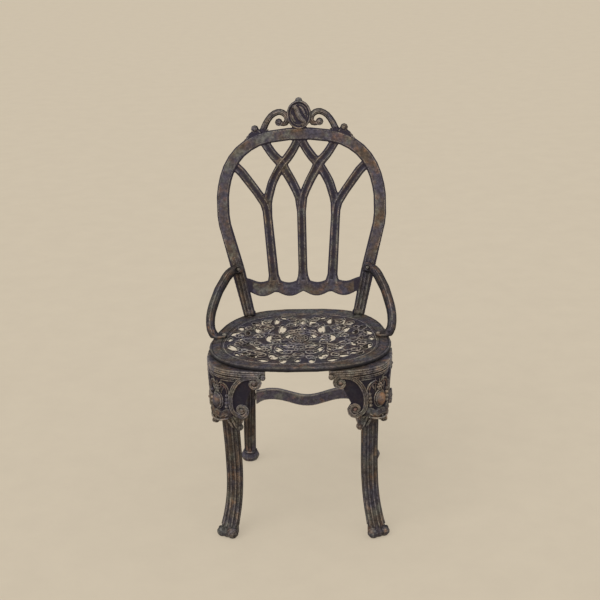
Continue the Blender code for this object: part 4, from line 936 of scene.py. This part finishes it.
def tracery_lines():
    """The centre lines of all bars. Each one passes under the bars that stand after it in the list."""
    outer_end = Vector((0.866 * HOOP_X, hoop_height(0.866 * HOOP_X)))
    cross_end = Vector((0.47 * HOOP_X, hoop_height(0.47 * HOOP_X)))
    apex = Vector((0.0, hoop_height(0.0) - 0.01))
    stem = [SIDE_FOOT.lerp(SIDE_SPLIT, share) for share in (0.0, 0.12, 0.55, 1.0)]
    outer = stem + between(SIDE_SPLIT, outer_end, OUTER)
    inner = [SIDE_FOOT.lerp(SIDE_SPLIT, 0.9)] + between(SIDE_SPLIT, apex, INNER)
    crossing = [MIDDLE_FOOT.lerp(MIDDLE_SPLIT, 0.94)] + between(MIDDLE_SPLIT, cross_end, CROSSING)
    mullion = [MIDDLE_FOOT.lerp(MIDDLE_SPLIT, share) for share in (0.0, 0.2, 0.93)]
    return [flowing(line, 6) for line in (
        inner, mirrored(crossing), crossing, mirrored(inner), outer, mirrored(outer), mullion)]


def free_runs(line, others, room, hoop_room=0.015):
    """The parts of a line that keep clear of other lines, of the hoop and of the rail."""
    runs = [[]]
    for point in line:
        near = any((place_on - point).length < room for other in others for place_on in other)
        if near or point.y < RAIL_TOP or any((place_on - point).length < hoop_room for place_on in WHOLE_HOOP):
            runs.append([])
        else:
            runs[-1].append(point)
    return [run for run in runs if len(run) > 2]


def tracery_reeds():
    pieces = []
    lines = tracery_lines()
    for i, line in enumerate(lines):
        half = MULLION_HALF if i == len(lines) - 1 else BAR_HALF
        for side in (-1, 1):
            for run in free_runs(beside(line, side * half * REED_SHARE), lines[i + 1:], 0.0115):
                pieces.append(line_on(on_back, run, 0.0046, 0.0014, (0.7, 1.0, 1.0, 0.7)))
    return pieces


back_reeds = finish(gather(hoop_lines() + tracery_reeds(), "back_reeds"), reed_paint)

# %% [markdown]
# ## The crest
#
# On top of the hoop, an oval boss with an S-shaped leaf stands between two scrolls, and a knob ends each
# side. Every curl is a spiral line that rises towards its eye, as on a rolled strip of iron.

# %% The crest
CREST_TOP = HOOP_RISE + 0.0145
CREST_MIDDLE = CREST_TOP + 0.029
SPAN = 0.083
# The S-leaf on the boss, measured from its middle, and two short strokes beside it with their radii
S_LEAF = ((-0.015, 0.015), (-0.0105, 0.0185), (-0.005, 0.01), (-0.001, 0.0000), (0.0045, -0.0095),
          (0.011, -0.014), (0.0135, -0.02), (0.0085, -0.023), (0.006, -0.019))
STROKES = ((((0.0015, 0.0195), (0.008, 0.013), (0.013, 0.003), (0.0165, -0.006)), 0.0026),
           (((-0.0165, 0.002), (-0.014, -0.008), (-0.008, -0.0165)), 0.0024))
# The scroll beside the boss, measured from the end of the crest's span
SCROLL = ((0.001, -0.002), (-0.006, 0.01), (-0.018, 0.027), (-0.033, 0.0355), (-0.046, 0.034),
          (-0.0545, 0.023), (-0.051, 0.012))
# Leaves where the knobs and scrolls spring from the hoop: place across, rise, turn and length
HOOP_LEAVES = ((0.094, 0.0185, 70, 0.02), (0.113, 0.0195, 112, 0.024), (0.122, 0.0165, 122, 0.018),
               (0.078, 0.0165, 98, 0.016))


def crest_boss():
    centre = Vector((0.0, CREST_MIDDLE))
    leaf = flowing([centre + Vector(point) for point in S_LEAF], 3)
    lines = [line_on(on_back, oval(centre, 0.052, 0.061, 28), 0.0085, 0.0016),
             line_on(on_back, oval(centre, 0.04, 0.048, 24), 0.0058, 0.0009),
             line_on(on_back, leaf, 0.0058, 0.006, (0.4, 0.9, 1.05, 1.0, 0.8, 0.6, 0.35), 2)]
    for points, radius in STROKES:
        stroke = flowing([centre + Vector(point) for point in points], 4)
        lines.append(line_on(on_back, stroke, 0.0054, radius, (0.4, 1.2, 1.0, 0.4)))
    return lines


def crest_scrolls():
    """The striped scrolls beside the boss, with spirals and eyes on their curls and knobs, and leaves."""
    lines, leaves, beads = [], [], []
    knob = (SPAN + 0.02, hoop_height(SPAN + 0.02) + 0.0285)
    for mirror in (1, -1):
        scroll = flowing([Vector((mirror * (SPAN + x), CREST_TOP + y)) for x, y in SCROLL], 3)
        for offset, depth, radius in ((0.0, 0.0066, 0.0018), (0.0036, 0.0054, 0.0009),
                                      (-0.0036, 0.0054, 0.0009)):
            lines.append(line_on(on_back, beside(scroll, offset), depth, radius, (1.0, 1.0, 1.0, 0.8)))
        for eye, start in (((SPAN - 0.036, CREST_TOP + 0.0125), 180), (knob, 250)):
            curl = mirrored(spiral(eye, 0.008, start, 1.4, 22, 0.15), mirror)
            depths = spread((0.005, 0.0076, 0.0095), len(curl))
            lines.append(line_on(on_back, curl, depths, 0.0016, (0.8, 1.0, 0.8)))
            beads.append(back_spot(mirror * eye[0], eye[1], 0.0086, 0.003, 0.003, 0.003))
        for x, over, turn, length in HOOP_LEAVES:
            leaves.append(back_spot(mirror * x, hoop_height(x) + over, 0.0035, 0.009, length, 0.011,
                                    180 - mirror * turn))
    beads.append(back_spot(0.0, CREST_MIDDLE + 0.0338, 0.003, 0.007, 0.0055, 0.0045))
    return lines + [copies(BEAD, beads), copies(LEAF, leaves)]


finish(gather(crest_boss() + crest_scrolls(), "crest_carving"), reed_paint)

# %% [markdown]
# ## Mark the recesses
#
# Painted shade darkens the sunk parts of the carving: the webs inside the scrolls, the ground of the crest's
# oval and the groove between two reeds. It also draws a dark line along the back's edges and darkens the seat's
# pierced field. A value on each corner of the skins marks those places, and the paint reads it.


# %% Recesses of the knees, the back and the seat
def mark(piece, depth_at):
    layer = piece.data.attributes.new("recess", "FLOAT", "POINT")
    layer.data.foreach_set("value", [depth_at(corner.co) for corner in piece.data.vertices])


def ramp(value, low, high):
    return min(1.0, max(0.0, (value - low) / (high - low)))


def finder(lines):
    """A quick way to find how far a flat place is from a set of lines."""
    spots = []
    for line in lines:
        for a, b in zip(line, line[1:]):
            parts = max(1, round((b - a).length / 0.0015))
            spots += [a.lerp(b, part / parts) for part in range(parts)]
    tree = KDTree(len(spots))
    for i, place_on in enumerate(spots):
        tree.insert(place_on.to_3d(), i)
    tree.balance()
    return tree


bars = tracery_lines()
near_groove = finder([run for i, line in enumerate(bars) for run in free_runs(line, bars[i + 1:], 0.0125)])
near_bar = finder(bars)
near_hoop = finder([WHOLE_HOOP])


def knee_recess(co):
    """Painted shade on the webs, which lie deeper than the ribs and the oval round them."""
    if not 0.0165 < KNEE_TOP - co.z < 0.1165:
        return 0.0
    share = ((abs(co.x) / KNEE_HALF) ** 4 + (abs(SEAT_Y - co.y) / KNEE_REACH) ** 4) ** 0.25
    return ramp(0.0022 - (share - 1.0) * 0.17, 0.0, 0.0014)


def rail_edges(x):
    """The waved top and the lobed bottom of the rail."""
    bay = SIDE_FOOT.x
    top = 0.082 + 0.004 * math.cos(2 * math.pi * x / bay) + 0.004 * max(0.0, (abs(x) - bay) / 0.067)
    return top, 0.0588 - 0.012 * abs(math.sin(math.pi * x / (0.94 * bay)))


def back_place(co):
    """The height on the back's panel and the depth before it."""
    flat = co - PANEL_FOOT
    return flat.dot(BACK_UP), flat.dot(BACK_FACE)


def back_recess(co):
    """Painted shade on the oval's ground and in the grooves between reeds, and a painted dark line along all
    edges.
    """
    height, depth = back_place(co)
    if depth > 0.0 and (co.x / 0.024) ** 2 + ((height - CREST_MIDDLE) / 0.0285) ** 2 < 1.0:
        return 1.0
    here = Vector((co.x, height, 0.0))
    from_hoop, from_bar = near_hoop.find(here)[2], near_bar.find(here)[2]
    if from_hoop < 0.0155:
        return ramp(from_hoop, 0.01, 0.0125)
    if height < 0.094 and abs(co.x) < 0.12:
        top, bottom = rail_edges(co.x)
        below_bar = from_bar < 0.012 and height > 0.075
        upper = 0.0 if below_bar else ramp(height, top - 0.0048, top - 0.0018)
        return 0.95 * max(upper, ramp(bottom - height, -0.0048, -0.0018))
    if height > 0.44:
        return 0.0
    groove = 0.75 * ramp(-near_groove.find(here)[2], -0.005, -0.003)
    return max(groove, ramp(from_bar, 0.007, 0.009))


def seat_recess(co):
    """Painted shade: the pierced field is darker than its ribs and its rim."""
    reach = 0.155 if co.y > SEAT_Y else 0.15
    share = abs(co.x / 0.17) ** 2.6 + abs((co.y - SEAT_Y - 0.02) / reach) ** 2.6
    return 0.45 if share < 1.0 and co.z < 0.4123 else 0.0


for node, recess in (("back_casting", back_recess), ("seat_casting", seat_recess),
                     ("front_leg_left", knee_recess), ("front_leg_right", knee_recess)):
    mark(skins[node], recess)
print("recesses marked on", [node for node, piece in skins.items() if "recess" in piece.data.attributes])

# %% [markdown]
# ## Bending the arches
#
# On the real chair the bars rise almost upright from their mullions, then lean over and meet in pointed
# arches. The solids of the back have straighter bars. A modeller would push the bars over with a large soft
# brush. That is what the pushes below do: each one moves what lies near its place, most in the middle and
# less with distance, and its mirror image does the same on the other side. The hoop stays still. The reeds
# get the same pushes, so they stay on their bars.

# %% Bend the arches with soft pushes
PUSH_REACH = 0.02
# Across, height, push across, push upwards
PUSHES = ((0.0708, 0.2952, 0.0013, 0.0), (0.0636, 0.3116, 0.0021, 0.0021), (0.0564, 0.3279, 0.002, 0.002),
          (0.0441, 0.3496, -0.0002, 0.0062), (0.037, 0.3622, -0.0033, 0.0011),
          (0.0177, 0.3907, -0.0023, 0.0007), (0.0052, 0.2804, -0.0023, 0.0002),
          (0.0198, 0.3102, -0.0014, 0.0033), (0.031, 0.329, -0.002, 0.0036),
          (0.0543, 0.3652, -0.0003, 0.0017), (0.0655, 0.3825, 0.0006, 0.001))


def pushed(co):
    height, _ = back_place(co)
    if not 0.24 < height < 0.43 or abs(co.x) > 0.13:
        return co
    held = ramp(near_hoop.find(Vector((co.x, height, 0.0)))[2], 0.0125, 0.024)
    across = upward = 0.0
    for x, rise, push_across, push_up in PUSHES:
        for side in (1, -1):
            pull = math.exp(-((co.x - side * x) ** 2 + (height - rise) ** 2) / PUSH_REACH ** 2)
            across += side * push_across * pull
            upward += push_up * pull
    return co + (Vector((across, 0.0, 0.0)) + BACK_UP * upward) * held


for piece in (skins["back_casting"], back_reeds):
    corners = [value for corner in piece.data.vertices for value in pushed(corner.co)]
    piece.data.vertices.foreach_set("co", corners)
    piece.data.update()
print("arches bent in", skins["back_casting"].name, "and", back_reeds.name)

# %% [markdown]
# ## Arms
#
# Each arm is a round bar with one broad reed along the side that looks to the front. The reed follows the
# bar's bent centre line, moved out to its surface.

# %% A reed on each arm
ARM_START, ARM_END = Vector((0.155, 0.1245, 0.529)), Vector((0.1956, -0.0256, 0.4166))
ARM_BOW = 0.0235
# Shares of the fall, of the way forward and of the bow outwards
ARM_STATIONS = ((0.015, 0.1, 0.44), (0.082, 0.236, 0.78), (0.255, 0.48, 1.09), (0.455, 0.696, 1.15),
                (0.655, 0.858, 1.03), (0.864, 0.966, 0.6))


def arm_line():
    """The right arm's centre line, from the hoop to the seat."""
    way = ARM_END - ARM_START
    line = [ARM_START + Vector((way.x * fall + ARM_BOW * out, way.y * run, way.z * fall))
            for fall, run, out in ARM_STATIONS]
    return flowing([ARM_START] + line + [ARM_END], 3)


def arm_reed():
    line = arm_line()
    reed = []
    for before, here, after in zip(line[1:], line[2:], line[3:]):
        ahead = (after - before).normalized()
        reed.append(here + (FRONT - ahead * FRONT.dot(ahead)).normalized() * 0.0098)
    return raised_line(reed, 0.003, (0.4, 1.0, 1.1, 1.0, 0.6))


finish(gather([arm_reed()], "arm_reeds_right"), iron_shafts)

# %% [markdown]
# ## The vines of the seat
#
# The seat's net is carved with vines. They are drawn as coils in three rows, each with a stalk and a leaf,
# on the right half and then mirrored. Some cross an opening, as the ribs of the real net do. Rings, arcs
# and a wreath of beads lie round the boss in the middle.

# %% Vines, rings and arcs
BOSS = (0.0, SEAT_Y + 0.015)
LINE_TOP = FIELD_TOP + 0.0002
# Share of the field, number of coils, radius and start angle of each row
VINE_ROWS = ((0.86, 8, 0.014, 10), (0.61, 6, 0.0165, 0), (0.35, 4, 0.0135, 18))
# Size against the boss, and first and last angle in degrees
ARCS = ((1.55, 20, 160), (1.55, 200, 340), (2.15, 30, 150), (2.15, 210, 330), (2.75, 40, 140),
        (2.75, 215, 325))


def level(x, y, height):
    return Vector((x, y, height))


def boss_ornament():
    pieces = [line_on(level, oval(BOSS, 0.032, 0.044, 24), 0.4145, 0.0016),
              line_on(level, oval(BOSS, 0.019, 0.027, 24), 0.415, 0.001)]
    beads = [Matrix.Translation(level(*point, 0.4145)) @ Matrix.Scale(0.0021, 4)
             for point in oval(BOSS, 0.025, 0.035, 8)[:-1]]
    pieces.append(copies(BEAD, beads))
    for size, first, last in ARCS:
        arc = oval(BOSS, 0.0368 * size, 0.044 * size, 14, first, last)
        pieces.append(line_on(level, arc, LINE_TOP, 0.0022, (0.6, 1.0, 1.0, 0.6)))
    return pieces


def seat_place(share, degrees):
    """A flat place on the pierced field: share of the way from its middle to the rim, and angle."""
    angle = math.radians(degrees)
    x, y = math.cos(angle), math.sin(angle)
    stretch = (abs(x) ** 2.4 + abs(y) ** 2.4) ** (-1 / 2.4)
    reach = 0.16 if y > 0 else 0.124
    return Vector((0.163 * share * stretch * x, SEAT_Y + 0.01 + reach * share * stretch * y))


def seat_vines():
    """Scrolled vines on the field's right half."""
    lines, leaves = [], []
    for share, count, radius, start in VINE_ROWS:
        for i in range(count):
            degrees = -90 + 180 * (i + 0.5) / count
            way = 1 if i % 2 else -1
            coil = spiral(seat_place(share, degrees), radius, degrees + start * way + 90, way * 1.35, 17, 0.22)
            lines.append(line_on(level, coil, LINE_TOP, 0.0025, (0.8, 1.0, 1.0, 0.8)))
            bend = seat_place(share - 0.1, degrees + way * 16)
            tail = seat_place(share - 0.24, degrees + way * 14)
            lines.append(line_on(level, flowing([coil[0], bend, tail], 4), LINE_TOP, 0.0022, (1.0, 1.0, 0.5)))
            centre = level(*seat_place(share + 0.02, degrees + 90 / count), FIELD_TOP)
            across = flat_way(math.radians(degrees + 60))
            leaves.append(spot(centre, across, UP.cross(across), (0.0075, 0.019, 0.005)))
    return lines + [copies(LEAF, leaves)]


finish(gather(seat_vines(), "seat_vines_right"), seat_carving)
finish(gather(boss_ornament(), "boss_carving"), seat_carving)

# %% [markdown]
# ## Leaf tips in the openings
#
# In the real net, the tips of the carved leaves reach into the openings and make them uneven. The openings'
# outlines are taken from the seat once more. From the edge of each one, a leaf or two grows towards its
# middle, in the dark paint of the seat.

# %% Leaf tips
# The smallest and largest opening that gets leaves, and the size from which it gets two
SMALLEST, LARGEST, ROOM_FOR_TWO = 0.0055, 0.03, 0.0085
# A leaf's length and width as shares of the opening's size, its thickness, and how deep it is rooted
TIP_LENGTH, TIP_WIDTH, TIP_DEPTH, TIP_ROOT = 0.72, 0.5, 0.008, 0.0022


def rings_of(line):
    """The closed rings of a loose line, each as its places in order."""
    neighbours = {}
    for edge in line.data.edges:
        a, b = edge.vertices
        neighbours.setdefault(a, []).append(b)
        neighbours.setdefault(b, []).append(a)
    left, rings = set(neighbours), []
    while left:
        ring, ahead = [], [min(left)]
        while ahead:
            ring.append(ahead[0])
            left.remove(ahead[0])
            ahead = [corner for corner in neighbours[ring[-1]] if corner in left]
        rings.append([line.data.vertices[corner].co.copy() for corner in ring])
    return rings


def leaf_tips(rings):
    """Places for leaves that grow from an opening's edge towards its middle."""
    spots = []
    for ring in rings:
        middle = sum(ring, Vector()) / len(ring)
        size = sum((point - middle).length for point in ring) / len(ring)
        if not SMALLEST < size < LARGEST:
            continue
        away = Vector((middle.x, middle.y - SEAT_Y, 0.0)).normalized()
        hand = 1 if middle.x > 0.0 else -1
        for turn in ((75,) if size < ROOM_FOR_TWO else (60, 205)):
            aim = Matrix.Rotation(math.radians(turn * hand), 3, "Z") @ away
            edge = max(ring, key=lambda point: (point - middle).normalized().dot(aim))
            root = (edge - middle).normalized()
            length = size * TIP_LENGTH
            centre = edge - root * (length * 0.5 - TIP_ROOT)
            centre.z = FIELD_TOP - 0.001
            spots.append(spot(centre, root.cross(UP), root, (size * TIP_WIDTH, length, TIP_DEPTH)))
    return spots


opening_line = seat_outline(FIELD_TOP, 0.0004)
tips = leaf_tips(rings_of(opening_line))
bpy.data.objects.remove(opening_line)
finish(gather([copies(LEAF, tips)], "opening_leaves"), iron_seat)
print("leaf tips:", len(tips))

# %% [markdown]
# ## The rear legs
#
# The rear legs have no carving but reeds all round, a collar at the top and one over the foot. Their
# centre line is a formula: they spread out and back on their way down.

# %% Reeds and collars of the rear legs
REED_HEIGHTS = (0.032, 0.09, 0.15, 0.21, 0.27, 0.33, 0.375)
REAR_RADIUS = 0.0133


def rear_place(z):
    fall = 1 - z / KNEE_TOP
    return Vector((STILE_X + 0.024 * fall ** 0.76, STILE_Y + 0.075 * fall ** 1.3, z))


def rear_ornament():
    pieces = [line_on(level, oval(rear_place(z), 2 * radius, 2 * radius), z, thickness)
              for z, radius, thickness in ((0.0265, 0.015, 0.0028), (0.395, 0.016, 0.002))]
    for i in range(REEDS):
        outward = flat_way(2 * math.pi * i / REEDS)
        reed = [rear_place(z) + outward * REAR_RADIUS for z in REED_HEIGHTS]
        pieces.append(raised_line(flowing(reed, 2), 0.0022, (0.6, 1.0, 1.0, 0.6)))
    return pieces


finish(gather(rear_ornament(), "rear_reeds_right"), iron_shafts)
for model in (BEAD, LEAF):
    bpy.data.objects.remove(model)

# %% [markdown]
# ## The studio
#
# The floor is a wide sheet of warm, pale paper colour. Even light from all round, a wide low sun from the
# left and a weaker one from the right together give it just the brightness of its own colour, and a soft
# shadow. The camera stands a little above the seat and to the right, far away, which keeps the legs almost
# parallel.

# %% Floor
PAPER = (0.625, 0.54, 0.415)
PAPER_SHADE = (0.605, 0.522, 0.402)
# The share of the paper's brightness that no shadow takes away
GLOW = 0.62
FLOOR_SIZE, FLOOR_DROP = 80.0, 0.0002


def paper_floor():
    material, tree, shader, where = new_material("paper")
    mottle = add_node(tree, "ShaderNodeTexNoise", 0, Vector=where, Scale=9.0, Detail=5.0, Roughness=0.7)
    colour = mix(mottle.step(0.35, 0.65), PAPER, PAPER_SHADE)
    tree.links.new(scaled(colour, 1.0 - GLOW).socket, shader.inputs["Base Color"])
    tree.links.new(colour.socket, shader.inputs["Emission Color"])
    shader.inputs["Emission Strength"].default_value = GLOW
    shader.inputs["Roughness"].default_value = 1.0
    shader.inputs["Specular IOR Level"].default_value = 0.0
    pick()
    bpy.ops.mesh.primitive_plane_add(size=FLOOR_SIZE, location=(0.0, 0.0, -FLOOR_DROP))
    floor = settle(bpy.context.object)
    floor.name = "floor"
    floor.data.materials.append(material)


paper_floor()
print("floor:", FLOOR_SIZE, "m wide")

# %% Light
WORLD_LIGHT = 0.66
# Name, direction it comes from, strength and width in degrees
SUNS = (("key", (-0.5, -0.62, 0.8), 1.15, 50.0), ("fill", (0.75, -0.55, 0.55), 0.5, 80.0))


def studio_light():
    world = bpy.data.worlds.new("studio")
    world.use_nodes = True
    tree = world.node_tree
    # The camera sees paper behind the floor's far edge, and everything else sees white light
    seen = add_node(tree, "ShaderNodeLightPath", "Is Camera Ray")
    light = mix(seen, (WORLD_LIGHT, WORLD_LIGHT, WORLD_LIGHT), PAPER)
    tree.links.new(light.socket, tree.nodes["Background"].inputs["Color"])
    bpy.context.scene.world = world
    for name, direction, strength, width in SUNS:
        bpy.ops.object.light_add(type="SUN", rotation=Vector(direction).to_track_quat("Z", "Y").to_euler())
        lamp = bpy.context.object
        lamp.name = name
        lamp.data.energy = strength
        lamp.data.angle = math.radians(width)


studio_light()
print("suns:", [name for name, *_ in SUNS])

# %% Camera
LENS_MM, SENSOR_MM = 72.83, 36.0
CAMERA_PLACE = Vector((0.16, -2.593, 1.3761))
PITCH, YAW, ROLL = math.radians(18.793), math.radians(-3.553), math.radians(-1.949)


def aim_camera():
    bpy.ops.object.camera_add()
    camera = bpy.context.object
    camera.data.lens = LENS_MM
    camera.data.sensor_width = SENSOR_MM
    ahead = Vector((math.sin(YAW) * math.cos(PITCH), math.cos(YAW) * math.cos(PITCH), -math.sin(PITCH)))
    right = Vector((math.cos(YAW), -math.sin(YAW), 0.0))
    upward = right.cross(ahead)
    rolled_right = right * math.cos(ROLL) + upward * math.sin(ROLL)
    rolled_up = upward * math.cos(ROLL) - right * math.sin(ROLL)
    turn = Matrix((rolled_right, rolled_up, -ahead)).transposed()
    camera.matrix_world = Matrix.Translation(CAMERA_PLACE) @ turn.to_4x4()
    bpy.context.scene.camera = camera


aim_camera()
bpy.context.scene.view_settings.view_transform = "Standard"
print("camera at", tuple(CAMERA_PLACE))
